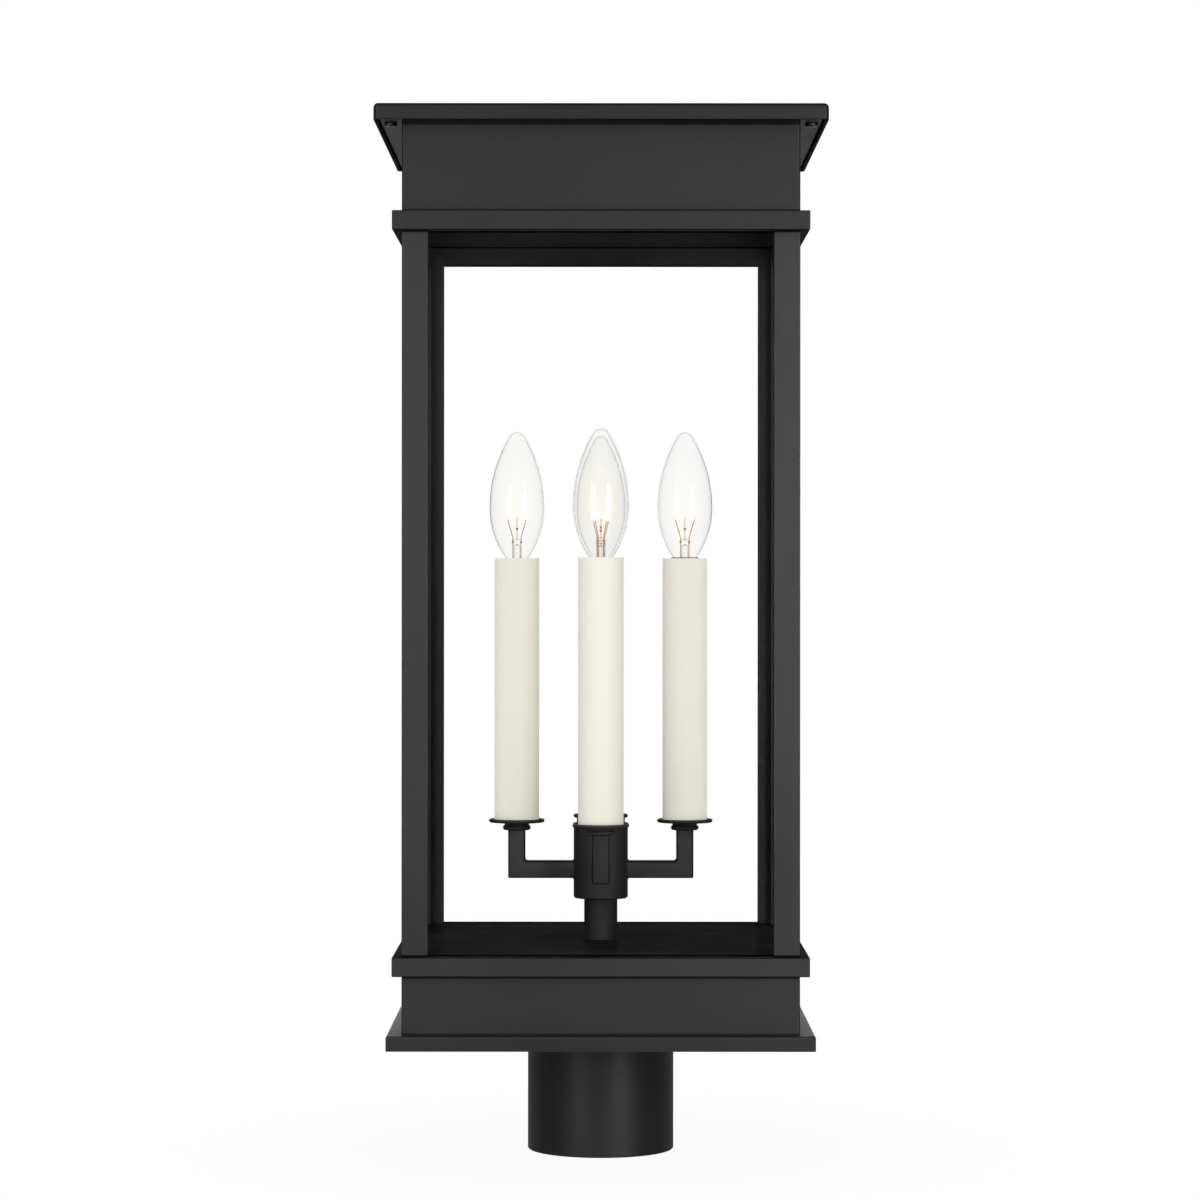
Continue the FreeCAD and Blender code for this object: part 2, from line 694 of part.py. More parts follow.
def set_screw(side, turn):
    """A short socket set screw, released so that its end is just clear of the post."""
    direction = turn_about_z(turn).multVec(FreeCAD.Vector(1, 0, 0))
    rotation = FreeCAD.Rotation(FreeCAD.Vector(0, 0, 1), direction)
    start = D["fitter_bore"] / 2 + D["running_gap"]
    body = new_body(f"set_screw_{side}", D["clamp_height"], start * round(direction.x, 6),
                    start * round(direction.y, 6), rotation)
    outline = new_sketch(body)
    circle(outline, D["clamp_screw"])
    pad(body, outline, D["clamp_screw_length"])
    recess_depth = D["clamp_screw_length"] / 2
    recess = new_sketch(body, lift=recess_depth)
    hexagon(recess, D["clamp_screw"] / 2)
    cut(body, recess, recess_depth)


# --------------------------------------------------------------------------------------
# Stem and hub
# --------------------------------------------------------------------------------------

def ring_piece(label, z, outer, inner, height, spots=((0, 0),)):
    """One or more plain round rings."""
    body = new_body(label, z)
    section = new_sketch(body)
    for x, y in spots:
        circle(section, outer, x, y)
        circle(section, inner, x, y)
    pad(body, section, height)
    return body


def stem_pieces():
    """The stem tube, the threaded pipe inside it, and what clamps them to the floor."""
    washer_foot = FLOOR - D["sheet"] - WASHER_THICK
    floor_nut_foot = washer_foot - D["nut_height"]
    hub_nut_foot = HUB_FOOT + D["hub_wall"]
    rod_foot = floor_nut_foot - D["nut_height"]
    rod_top = hub_nut_foot + D["nut_height"] + THREAD_END
    ring_piece("stem_tube", FLOOR, D["stem_width"], D["stem_width"] - D["stem_wall"] * 2,
               D["stem_length"])
    ring_piece("stem_rod", rod_foot, D["rod_width"], D["rod_bore"], rod_top - rod_foot)
    ring_piece("stem_washer", washer_foot, D["nut_flats"] * WASHER_WIDTH,
               D["rod_width"] + D["hole_gap"] * 2, WASHER_THICK)

    nuts = new_body("stem_locknuts", floor_nut_foot)
    for lift in (as_size(0), hub_nut_foot - floor_nut_foot):
        section = new_sketch(nuts, lift=lift)
        hexagon(section, D["nut_flats"])
        circle(section, D["rod_width"] + D["running_gap"] * 2)
        pad(nuts, section, D["nut_height"])

    bush = new_body("wire_bush", rod_foot)
    lip = D["rod_width"] / 2 + BUSH_LIP
    rod_radius = D["rod_width"] / 2 + D["running_gap"]
    way = D["rod_bore"] / 2 - BUSH_WALL
    turned(bush, [(way, -BUSH_HEIGHT), (lip, -BUSH_HEIGHT), (lip, BUSH_HEIGHT),
                  (rod_radius, BUSH_HEIGHT), (rod_radius, 0), (way, 0)])


def hub():
    """The cup that carries the four arms, with a square socket for each."""
    body = new_body("hub", HUB_FOOT)
    outer = D["hub_width"] / 2
    inner = HUB_BORE / 2
    hole = D["rod_width"] / 2 + D["hole_gap"]
    top = D["hub_height"]
    turned(body, [(hole, 0), (outer, 0), (outer, top - HUB_BEAD),
                  (outer + HUB_LIP, top - HUB_BEAD + HUB_LIP), (outer + HUB_LIP, top - HUB_LIP),
                  (outer, top), (inner, top), (inner, D["hub_wall"]), (hole, D["hub_wall"])])
    break_edges(body, D["arm_edge"], lambda e: level(e, 0) and span(e, "X")[1] > outer.value - 1e-3)
    socket_width = D["arm_bar"] + D["running_gap"] * 2
    for role in ("XZ_Plane", "YZ_Plane"):
        for up in (True, False):
            window = new_sketch(body, role)
            rectangle(window, socket_width, socket_width, 0, D["arm_rise"] + D["arm_bar"] / 2)
            cut(body, window, D["hub_width"], up=up)


def hub_cap():
    """The plug that closes the hub's top."""
    body = new_body("hub_cap", HUB_TOP)
    cap = HUB_CAP_WIDTH / 2
    spigot = HUB_BORE / 2 - D["running_gap"]
    depth = D["hub_cap_height"] / 2
    turned(body, [(0, -depth), (spigot, -depth), (spigot, 0), (cap, 0),
                  (cap, D["hub_cap_height"]), (0, D["hub_cap_height"])])
    break_edges(body, D["arm_edge"], lambda e: level(e, D["hub_cap_height"].value))


# --------------------------------------------------------------------------------------
# Arms, drip discs, sleeves
# --------------------------------------------------------------------------------------

def candle_arm(side, turn):
    """A square bar that runs out from the hub and turns up, drawn towards +X."""
    body = new_body(f"arm_{side}", ARM_FOOT, rotation=turn_about_z(turn))
    bar = D["arm_bar"]
    root = HUB_BORE / 2 + D["hole_gap"]
    end = D["candle_reach"] + bar / 2
    inner = D["candle_reach"] - bar / 2
    elbow = new_sketch(body, "XZ_Plane")
    polygon(elbow, [(root, 0), (end, 0), (end, D["arm_height"]), (inner, D["arm_height"]),
                    (inner, bar), (root, bar)])
    pad_both_ways(body, elbow, bar)
    round_edges(body, D["arm_edge"],
                lambda e: not level(e, D["arm_height"].value) and span(e, "X")[1] > root.value + 1)
    wire_way = new_sketch(body, "YZ_Plane", lift=root)
    circle(wire_way, D["arm_wire_bore"], 0, bar / 2)
    cut(body, wire_way, D["candle_reach"] - root)
    riser = new_sketch(body, lift=bar / 2)
    circle(riser, D["arm_wire_bore"], D["candle_reach"], 0)
    cut(body, riser, D["arm_height"])


def seat_collars():
    """The four collars brazed on the arms' ends, threaded for the nipples."""
    body = new_body("seat_collars", SEAT)
    outline = new_sketch(body)
    wire_holes = new_sketch(body)
    threads = new_sketch(body, lift=D["seat_height"] - NIPPLE_THREAD)
    for x, y in candle_spots():
        circle(outline, D["seat_width"], x, y)
        circle(wire_holes, D["arm_wire_bore"], x, y)
        circle(threads, D["nipple_width"] + D["running_gap"] * 2, x, y)
    pad(body, outline, D["seat_height"])
    round_edges(body, D["seat_height"] / 3, lambda e: level(e, 0))
    cut(body, wire_holes, D["seat_height"])
    cut(body, threads, NIPPLE_THREAD)


def drip_disc(side):
    """The shallow dish under a candle sleeve."""
    x, y = candle_spot(side)
    body = new_body(f"drip_disc_{side}", DISC, x, y)
    hole = D["nipple_width"] / 2 + D["hole_gap"]
    flat = D["sleeve_width"] / 2 + DISC_FLAT
    rim = DISC_WIDTH / 2
    lip = rim - DISC_LIP
    sheet_top = D["disc_sheet"]
    turned(body, [(hole, 0), (lip, 0), (rim, D["disc_height"] - sheet_top),
                  (rim, D["disc_height"]), (lip, D["disc_height"]), (flat, sheet_top),
                  (hole, sheet_top)])


def candle_sleeve(side):
    """The plain tube that looks like a candle and hides the socket."""
    x, y = candle_spot(side)
    body = new_body(f"sleeve_{side}", SLEEVE_FOOT, x, y)
    section = new_sketch(body)
    circle(section, D["sleeve_width"])
    circle(section, SLEEVE_BORE)
    pad(body, section, D["sleeve_length"])


# --------------------------------------------------------------------------------------
# Sockets
# --------------------------------------------------------------------------------------

def socket_pieces():
    """What stands inside the sleeves: nipples, brackets, sockets, shells and contacts."""
    spots = candle_spots()
    nipple_foot = DISC - NIPPLE_THREAD
    ring_piece("nipples", nipple_foot, D["nipple_width"], D["rod_bore"],
               D["nipple_length"], spots)

    brackets = new_body("socket_brackets", SLEEVE_FOOT)
    feet = new_sketch(brackets)
    straps = new_sketch(brackets)
    strap_reach = SOCKET_WIDTH / 2 + BRACKET_SHEET / 2
    strap_length = SOCKET_FOOT - SLEEVE_FOOT + D["socket_length"] / 3
    for x, y in spots:
        circle(feet, SOCKET_WIDTH + BRACKET_SHEET, x, y)
        circle(feet, D["nipple_width"] + D["running_gap"] * 2, x, y)
        rectangle(straps, BRACKET_SHEET, BRACKET_FOOT * 2, x + strap_reach, y)
    pad(brackets, feet, BRACKET_FOOT)
    pad(brackets, straps, strap_length)

    bodies = ring_piece("socket_bodies", SOCKET_FOOT, SOCKET_WIDTH, SHELL_WIDTH,
                        D["socket_length"], spots)
    webs = new_sketch(bodies, lift=WEB_FOOT - SOCKET_FOOT)
    for x, y in spots:
        circle(webs, SHELL_WIDTH, x, y)
    pad(bodies, webs, WEB)

    ring_piece("socket_shells", SHELL_FOOT, SHELL_WIDTH, D["shell_bore"],
               D["shell_length"] - SHELL_LIP, spots)

    contacts = new_body("socket_contacts", CONTACT_FOOT)
    tongues = new_sketch(contacts)
    for x, y in spots:
        rectangle(tongues, D["shell_bore"] / 2, BRACKET_FOOT, x, y)
    pad(contacts, tongues, CONTACT_SHEET)


# --------------------------------------------------------------------------------------
# Bulbs
# --------------------------------------------------------------------------------------

def bulb_outline(sketch, foot, inset):
    """Half of a bulb's outline from its neck to its tip, set in by the wall if asked.

    Three arcs meet smoothly: the side below the widest part, the long side above it,
    and the tip. The long side's radius follows from the other two.
    """
    neck = BULB_NECK / 2 - inset
    belly = D["bulb_width"] / 2 - inset
    belly_z = D["bulb_belly"]
    low_radius = BULB_FOOT_RADIUS - inset
    tip_radius = D["bulb_tip_radius"] - inset
    tip_z = D["bulb_height"] - inset
    low_centre = belly.value - low_radius.value
    reach = neck.value - low_centre
    neck_z = belly_z.value - math.sqrt(low_radius.value ** 2 - reach ** 2)
    rise = tip_z.value - tip_radius.value - belly_z.value
    side_radius = (belly.value ** 2 + rise ** 2 - tip_radius.value ** 2) \
        / (2 * (belly.value - tip_radius.value))
    side_centre = belly.value - side_radius
    slope = math.atan2(rise, -side_centre)

    def arc(x, y, radius, start, end):
        full = Part.Circle(FreeCAD.Vector(x, y, 0), FreeCAD.Vector(0, 0, 1), radius)
        return sketch.addGeometry(Part.ArcOfCircle(full, start, end), False)

    def line(x1, y1, x2, y2):
        ends = [FreeCAD.Vector(x1, y1, 0), FreeCAD.Vector(x2, y2, 0)]
        return sketch.addGeometry(Part.LineSegment(*ends), False)

    foot_z = as_size(foot).value
    low_start = math.atan2(neck_z - belly_z.value, reach)
    low = arc(low_centre, belly_z.value, low_radius.value, low_start, 0)
    side = arc(side_centre, belly_z.value, side_radius, 0, slope)
    tip = arc(0, tip_z.value - tip_radius.value, tip_radius.value, slope, math.pi / 2)
    axis = line(0, tip_z.value, 0, foot_z)
    base = line(0, foot_z, neck.value, foot_z)
    wall = line(neck.value, foot_z, neck.value, neck_z)

    def tie(kind, *items):
        return sketch.addConstraint(Sketcher.Constraint(kind, *items))

    def tie_to(size, kind, *items):
        index = tie(kind, *items, size.value)
        sketch.setExpression(f"Constraints[{index}]", size.formula)

    tie("Tangent", low, 2, side, 1)
    tie("Tangent", side, 2, tip, 1)
    tie("Coincident", tip, 2, axis, 1)
    tie("Coincident", axis, 2, base, 1)
    tie("Coincident", base, 2, wall, 1)
    tie("Coincident", wall, 2, low, 1)
    tie("Vertical", wall)
    tie("Horizontal", base)
    tie("PointOnObject", axis, 2, -2)
    tie("PointOnObject", tip, 3, -2)
    tie("PointOnObject", tip, 2, -2)
    tie_to(tip_radius, "Radius", tip)
    tie_to(low_radius, "Radius", low)
    tie_to(tip_z, "DistanceY", -1, 1, tip, 2)
    tie_to(as_size(foot), "DistanceY", -1, 1, axis, 2)
    tie_to(neck, "DistanceX", -1, 1, base, 2)
    tie_to(belly, "DistanceX", -1, 1, low, 2)
    tie_to(belly_z, "DistanceY", -1, 1, low, 2)
    tie_to(belly_z, "DistanceY", -1, 1, low, 3)


def bulb(side):
    """A candle bulb: glass, screw cap, and the glass mount that carries the filament."""
    x, y = candle_spot(side)

    glass = new_body(f"bulb_glass_{side}", SLEEVE_TOP, x, y)
    outside_line = new_sketch(glass, "XZ_Plane")
    bulb_outline(outside_line, -NECK_DEPTH, 0)
    revolve(glass, outside_line)
    inside_line = new_sketch(glass, "XZ_Plane")
    bulb_outline(inside_line, -NECK_DEPTH, D["bulb_wall"])
    revolve(glass, inside_line, "PartDesign::Groove")

    cap = new_body(f"bulb_cap_{side}", CAP_FOOT, x, y)
    shell = CAP_WIDTH / 2
    tip = shell / 3
    turned(cap, [(0, -CAP_TIP), (tip, -CAP_TIP), (shell, 0), (shell, D["cap_height"]),
                 (shell - D["shell_wall"], D["cap_height"]),
                 (shell - D["shell_wall"], CAP_BASE), (0, CAP_BASE)])

    mount = new_body(f"bulb_mount_{side}", CAP_TOP, x, y)
    flare = BULB_NECK / 2 - D["bulb_wall"]
    stalk = flare / 2
    top = NECK_DEPTH + D["mount_height"]
    turned(mount, [(0, 0), (flare, 0), (flare, MOUNT_STEP), (stalk, stalk + MOUNT_STEP),
                   (stalk, top - MOUNT_STEP), (stalk - MOUNT_STEP, top), (0, top)])
    lead_wires(mount, top, stalk)


def lead_wires(mount, top, stalk):
    """The two lead wires of a bulb and the filament between them, as one bent wire.

    The wire is six-sided, which keeps its faces flat and few.
    """
    root = stalk - D["wire_width"]
    foot = top - MOUNT_STEP
    end_z = NECK_DEPTH + D["filament_height"]
    reach = D["filament_reach"]
    path = new_sketch(mount, "XZ_Plane")
    corners = [(-root, foot), (-reach, end_z), (reach, end_z), (root, foot)]
    points = [FreeCAD.Vector(as_size(px).value, as_size(pz).value, 0) for px, pz in corners]
    lines = [path.addGeometry(Part.LineSegment(*pair), False)
             for pair in zip(points, points[1:])]
    for first, second in zip(lines, lines[1:]):
        path.addConstraint(Sketcher.Constraint("Coincident", first, 2, second, 1))
    for line, (px, pz) in zip(lines, corners):
        place_point(path, line, 1, px, pz)
    place_point(path, lines[-1], 2, *corners[-1])

    section = new_sketch(mount, lift=foot)
    hexagon(section, D["wire_width"], -root, 0)
    wire = mount.newObject("PartDesign::AdditivePipe", f"{mount.Name}_wire")
    wire.Profile = (section, [""])
    wire.Spine = (path, [f"Edge{i + 1}" for i in range(len(lines))])
    wire.Transition = "Right corner"
    doc.recompute()


for pane_side, pane_turn in SIDES:
    pane(pane_side, pane_turn)
roof_cap()
soffit_plate()
roof_screws()
frieze_box()
collar("upper_collar", POST_TOP)
collar("lower_collar", BASE_TOP)
for post_label, post_turn in (("corner_post_front_right", 0), ("corner_post_back_right", 90),
                              ("corner_post_back_left", 180), ("corner_post_front_left", 270)):
    corner_post(post_label, post_turn)
glass_beads()
floor_plate()
base_box()
bottom_plate()
post_fitter()
fitter_fasteners()
for screw_side, screw_turn in CLAMP_SIDES:
    set_screw(screw_side, screw_turn)
stem_pieces()
hub()
hub_cap()
seat_collars()
socket_pieces()
for light_side, light_turn in SIDES:
    candle_arm(light_side, light_turn)
    drip_disc(light_side)
    candle_sleeve(light_side)
    bulb(light_side)

# --------------------------------------------------------------------------------------
# Checks and files
# --------------------------------------------------------------------------------------

doc.recompute()
for item in doc.Objects:
    if {"Invalid", "Error"} & set(item.State):
        raise RuntimeError(f"{item.Label} failed: {item.State}")

os.makedirs("parts", exist_ok=True)
for item in parts:
    if item.Shape.isNull() or not item.Shape.isValid():
        raise RuntimeError(f"{item.Label} has no valid shape")
for item in parts:
    item.Shape.exportStep(f"parts/{item.Label}.step")
    print(f"{item.Label}: {len(item.Shape.Solids)} solid(s), {item.Shape.Volume / 1000:.2f} cm3")
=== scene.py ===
"""Looks of a square glazed post top lantern with four candle lights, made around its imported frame.

Lengths are metres. +Z is up and the front of the lantern faces -Y.
"""

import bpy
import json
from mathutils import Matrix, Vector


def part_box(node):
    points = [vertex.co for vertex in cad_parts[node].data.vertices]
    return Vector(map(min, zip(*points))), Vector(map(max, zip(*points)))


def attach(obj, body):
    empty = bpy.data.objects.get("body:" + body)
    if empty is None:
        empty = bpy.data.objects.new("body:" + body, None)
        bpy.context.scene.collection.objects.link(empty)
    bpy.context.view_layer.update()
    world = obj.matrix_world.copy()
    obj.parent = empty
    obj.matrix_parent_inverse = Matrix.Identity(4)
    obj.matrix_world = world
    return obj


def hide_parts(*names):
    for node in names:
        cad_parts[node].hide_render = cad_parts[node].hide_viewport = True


bl_info = {
    "name": "Post top lantern",
    "version": (1, 0, 0),
    "blender": (4, 5, 0),
    "location": "3D View > Sidebar > Lantern",
    "description": "Finishes and detailed pieces of a post top lantern with four candles",
    "category": "Object",
}

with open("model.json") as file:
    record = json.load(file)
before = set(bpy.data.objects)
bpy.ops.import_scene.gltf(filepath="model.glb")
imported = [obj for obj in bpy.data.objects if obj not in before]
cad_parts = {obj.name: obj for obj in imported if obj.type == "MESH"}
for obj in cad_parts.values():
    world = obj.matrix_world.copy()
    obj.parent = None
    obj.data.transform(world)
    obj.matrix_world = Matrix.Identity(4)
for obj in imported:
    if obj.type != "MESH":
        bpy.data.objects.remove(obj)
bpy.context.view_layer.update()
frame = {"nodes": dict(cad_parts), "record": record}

from functools import partial
import json
import math

import bpy
from bpy.props import FloatProperty, FloatVectorProperty, IntProperty, PointerProperty
from mathutils import Vector

MM = 0.001
MERGE = 1e-6                # points nearer to each other than this become one
QUARTER = math.pi / 2
SIDES = {"front": -90, "right": 0, "back": 90, "left": 180}
SLEEVE_LOW, SLEEVE_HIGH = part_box("sleeve_right")
GLASS_LOW, GLASS_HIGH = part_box("bulb_glass_right")
CAP_LOW, CAP_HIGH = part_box("bulb_cap_right")
DISC_LOW, DISC_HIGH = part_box("drip_disc_right")
SEAT_LOW, SEAT_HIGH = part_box("seat_collars")
ARM_LOW, ARM_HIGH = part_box("arm_right")
HUB_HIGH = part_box("hub")[1]
NIPPLE_LOW, NIPPLE_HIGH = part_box("nipples")
SHELL_LOW, SHELL_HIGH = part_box("socket_shells")
ROOF_SCREW_LOW, ROOF_SCREW_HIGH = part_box("roof_screws")
FASTENER_LOW, FASTENER_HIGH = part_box("fitter_fasteners")
SET_SCREW_LOW, SET_SCREW_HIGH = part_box("set_screw_back")
FRIEZE_LOW, FRIEZE_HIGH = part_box("frieze_box")
POST_LOW, POST_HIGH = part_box("corner_post_front_right")
BASE_LOW, BASE_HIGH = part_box("base_box")
ROOF_LOW, ROOF_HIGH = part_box("roof_cap")
PLATE_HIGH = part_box("bottom_plate")[1]
PANE_LOW, PANE_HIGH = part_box("pane_front")
UPPER_LOW, UPPER_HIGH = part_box("upper_collar")
LOWER_LOW, LOWER_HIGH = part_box("lower_collar")
CANDLE_REACH = (SLEEVE_LOW.x + SLEEVE_HIGH.x) / 2
SLEEVE_RADIUS = (SLEEVE_HIGH.y - SLEEVE_LOW.y) / 2
BULB_RADIUS = (GLASS_HIGH.y - GLASS_LOW.y) / 2
CAP_RADIUS = (CAP_HIGH.y - CAP_LOW.y) / 2
NIPPLE_RADIUS = NIPPLE_HIGH.y - CANDLE_REACH
GLASS_FOOT = GLASS_LOW.z - SLEEVE_HIGH.z       # heights in a bulb count from the sleeve's top
ARM_BAR = ARM_HIGH.y - ARM_LOW.y
SET_SCREW_LENGTH = SET_SCREW_HIGH.y - SET_SCREW_LOW.y


# ---- Sizes and colours that a user would change ----

def length(label, note, millimetres):
    """A length property, given in millimetres."""
    return FloatProperty(name=label, description=note, default=millimetres * MM, min=0,
                         unit="LENGTH", precision=5)


def amount(label, note, value, unit="NONE"):
    """A number property that isn't below 0."""
    return FloatProperty(name=label, description=note, default=value, min=0, unit=unit)


def colour(label, note, value):
    """A colour property."""
    return FloatVectorProperty(name=label, description=note, default=value, size=3,
                               subtype="COLOR", min=0, max=1)


class BulbSizes(bpy.types.PropertyGroup):
    """Sizes inside the candle bulbs."""
    belly: length("Belly height", "From the sleeve's top up to the widest part", 28.1)
    tip_radius: length("Tip radius", "Radius of the bulb's tip", 5.0)
    wall: length("Glass wall", "Wall of the bulb's glass", 0.5)
    stem_radius: length("Stem radius", "Radius of the glass stem that carries the wires", 2.5)
    pinch: length("Pinch height", "From the sleeve's top up to the top of the stem", 10.7)
    lead_reach: length("Lead reach", "From the axis to the end of a lead wire", 5.2)
    lead_height: length("Lead height", "From the sleeve's top up to the end of a lead", 22.0)
    support_rise: length("Support rise", "From the leads' ends up to the middle support", 2.4)
    wire_radius: length("Wire radius", "Radius of the lead wires", 0.25)
    bead_radius: length("Bead radius", "Radius of the bead on the middle support", 0.75)
    knot_radius: length("Knot radius", "Radius of the knots beside the pinch", 0.70)
    coil_radius: length("Coil radius", "Radius of the filament's coil", 0.55)
    filament_radius: length("Filament radius", "Radius of the filament's wire", 0.09)
    coil_turns: IntProperty(name="Coil turns", description="Turns of each half filament",
                            default=11, min=2)
    thread_pitch: length("Thread pitch", "Pitch of the screw cap's thread", 2.54)
    thread_depth: length("Thread depth", "Depth of the screw cap's thread", 0.5)


class MetalSizes(bpy.types.PropertyGroup):
    """Sizes of the details on arms, discs, screws and sockets."""
    rim_radius: length("Disc rim", "Radius of the rolled rim of a drip disc", 1.0)
    bead_radius: length("Seat bead", "Radius of the bead round a seat collar", 1.45)
    wire_way: length("Wire way", "Radius of the hole through a seat collar", 2.75)
    arm_edge: length("Arm edge", "Rounding of an arm's edges", 0.8)
    elbow_radius: length("Elbow", "Inner radius of an arm's elbow", 1.4)
    weld_radius: length("Weld bead", "Radius of the weld bead round an arm", 0.75)
    roof_head: length("Roof screw head", "Radius of a roof screw's head", 3.5)
    fitter_head: length("Fitter screw head", "Radius of the head of a fitter's screw", 4.5)
    screw_pitch: length("Screw pitch", "Pitch of the small screws", 0.8)
    thread_depth: length("Thread depth", "Depth of a small thread", 0.35)
    nipple_bore: length("Nipple bore", "Radius of the hole through a nipple", 3.2)
    nipple_pitch: length("Nipple pitch", "Pitch of a nipple's thread", 0.94)
    shell_wall: length("Shell wall", "Wall of a socket's screw shell", 0.35)


class Finish(bpy.types.PropertyGroup):
    """Colours of the finishes."""
    paint: colour("Black paint", "Satin powder coat of the frame", (0.0056, 0.0056, 0.0055))
    floor_paint: colour("Floor paint", "Smoother paint of the floor", (0.0125, 0.0125, 0.0121))
    ivory: colour("Ivory", "Candle sleeves", (0.875, 0.86, 0.74))
    ivory_edge: colour("Ivory edge", "Paler rim of a sleeve", (0.93, 0.90, 0.76))
    bulb_edge: colour("Bulb edge", "Tint where the bulb's glass is seen edge on",
                      (0.79, 0.785, 0.765))
    amber: colour("Amber", "Glass stem and pinch inside a bulb", (0.62, 0.30, 0.12))
    copper: colour("Copper", "Lead wires", (0.55, 0.24, 0.07))
    glow: colour("Glow", "Light of the filament", (1.0, 0.80, 0.45))
    brass: colour("Brass", "Screw shells and nipples", (0.72, 0.52, 0.24))
    nickel: colour("Nickel", "Bulb caps", (0.66, 0.64, 0.58))
    zinc: colour("Zinc", "Plated nuts and washers", (0.58, 0.59, 0.60))


class Studio(bpy.types.PropertyGroup):
    """Camera and lights."""
    camera_distance: length("Camera distance", "From the lantern's axis", 2070)
    camera_height: length("Camera height", "Above the floor", 305.1)
    camera_offset: FloatProperty(name="Camera offset", default=-0.0005, unit="LENGTH", precision=5,
                                 description="Camera to the right of the axis")
    camera_roll: FloatProperty(name="Camera roll", description="Turn about the view's axis",
                               default=-0.0005, subtype="ANGLE", precision=5)
    lens: amount("Lens", "Focal length in millimetres on a 36 mm sensor", 111.4)
    left_lamp: amount("Left lamp", "Power of the soft left lamp", 2.4, "POWER")
    right_lamp: amount("Right lamp", "Power of the soft right lamp", 4.0, "POWER")
    front_lamp: amount("Front lamp", "Power of the even light from in front", 9.0, "POWER")
    top_lamp: amount("Top lamp", "Power of the even light from above", 1.0, "POWER")
    ambient: amount("Ambient", "Level of the even light all round", 0.92)
    front_level: amount("Front level", "How bright the studio's front is in reflections", 0.70)
    side_level: amount("Side level", "How bright the studio's sides are in reflections", 0.03)
    top_level: amount("Top level", "How bright the studio's top is in reflections", 0.45)
    floor_level: amount("Floor level", "How bright the floor is in reflections", 0.24)


# ---- Node helpers ----

def plug(tree, sockets, values):
    """Sets sockets by name or number, each to a value or linked to another socket."""
    for key, value in values.items():
        if isinstance(value, bpy.types.NodeSocket):
            tree.links.new(value, sockets[key])
        else:
            sockets[key].default_value = value


def node(tree, kind, inputs=None, **settings):
    """Adds a node with its settings and inputs."""
    made = tree.nodes.new(kind)
    for key, value in settings.items():
        setattr(made, key, value)
    plug(tree, made.inputs, inputs or {})
    return made


def calc(tree, operation, *values):
    """Runs one maths operation along its values and returns the result."""
    result = values[0]
    for value in values[1:] or (0.0,):
        result = node(tree, "ShaderNodeMath", {0: result, 1: value},
                      operation=operation).outputs[0]
    return result


def ramp(tree, value, low, high, start=0.0, end=1.0, shape="LINEAR"):
    """Goes from start to end while a value goes from low to high."""
    return node(tree, "ShaderNodeMapRange",
                {"Value": value, "From Min": low, "From Max": high, "To Min": start,
                 "To Max": end}, interpolation_type=shape).outputs["Result"]


def mix(tree, share, first, second, kind="RGBA"):
    """Mixes two colours, or two values of another kind."""
    return node(tree, "ShaderNodeMix", {"Factor": share, "A": first, "B": second},
                data_type=kind).outputs["Result"]


def mix_shaders(tree, share, first, second):
    """Mixes two shaders."""
    return node(tree, "ShaderNodeMixShader",
                {0: share, 1: first.outputs[0], 2: second.outputs[0]})


def noise(tree, place, scale, detail, roughness=0.5):
    """Noise at a place."""
    return node(tree, "ShaderNodeTexNoise",
                {"Vector": place, "Scale": scale, "Detail": detail,
                 "Roughness": roughness}).outputs["Fac"]


def object_place(tree):
    """A point's place on its object."""
    return node(tree, "ShaderNodeTexCoord").outputs["Object"]


def object_parts(tree):
    """A point's place on its object, as X, Y and Z."""
    return node(tree, "ShaderNodeSeparateXYZ", {0: object_place(tree)}).outputs


def stretched_place(tree, factors):
    """A point's place on its object, with each part of it scaled."""
    return node(tree, "ShaderNodeVectorMath", {0: object_place(tree), 1: factors},
                operation="MULTIPLY").outputs[0]


def edge_on(tree, power):
    """How far a surface is seen edge on, from 0 to 1, sharpened by a power."""
    facing = node(tree, "ShaderNodeLayerWeight", {"Blend": 0.5}).outputs["Facing"]
    return facing, calc(tree, "POWER", facing, power)


def bump(tree, height, strength, distance):
    """A bump node's normal."""
    return node(tree, "ShaderNodeBump",
                {"Height": height, "Strength": strength, "Distance": distance}).outputs[0]


def rgba(value, share=1.0):
    """A colour with alpha, scaled."""
    return tuple(min(channel * share, 1.0) for channel in value) + (1.0,)


def new_group(name, inputs, outputs):
    """Starts a shader node group of numbers: its inputs' defaults and its outputs' names."""
    group = bpy.data.node_groups.new(name, "ShaderNodeTree")
    for label, default in inputs.items():
        socket = group.interface.new_socket(label, in_out="INPUT",
                                            socket_type="NodeSocketFloat")
        socket.default_value = default
    for label in outputs:
        group.interface.new_socket(label, in_out="OUTPUT", socket_type="NodeSocketFloat")
    given = group.nodes.new("NodeGroupInput").outputs
    return group, given, group.nodes.new("NodeGroupOutput").inputs


def grain_group():
    """Fine grain of a powder coat or a moulded skin: a mask, a height and soft patches."""
    group, given, out = new_group("Fine grain",
                                  {"Scale": 900.0, "Patch scale": 9.0, "Speckle": 0.5},
                                  ("Height", "Speckle mask", "Patches"))
    place = object_place(group)
    fine = noise(group, place, given["Scale"], detail=3.0, roughness=0.6)
    broad = noise(group, place, given["Patch scale"], detail=4.0, roughness=0.55)
    mask = calc(group, "MULTIPLY", ramp(group, fine, 0.58, 0.80), given["Speckle"])
    plug(group, out, {"Height": fine, "Speckle mask": mask,
                      "Patches": ramp(group, broad, 0.3, 0.7)})
    return group


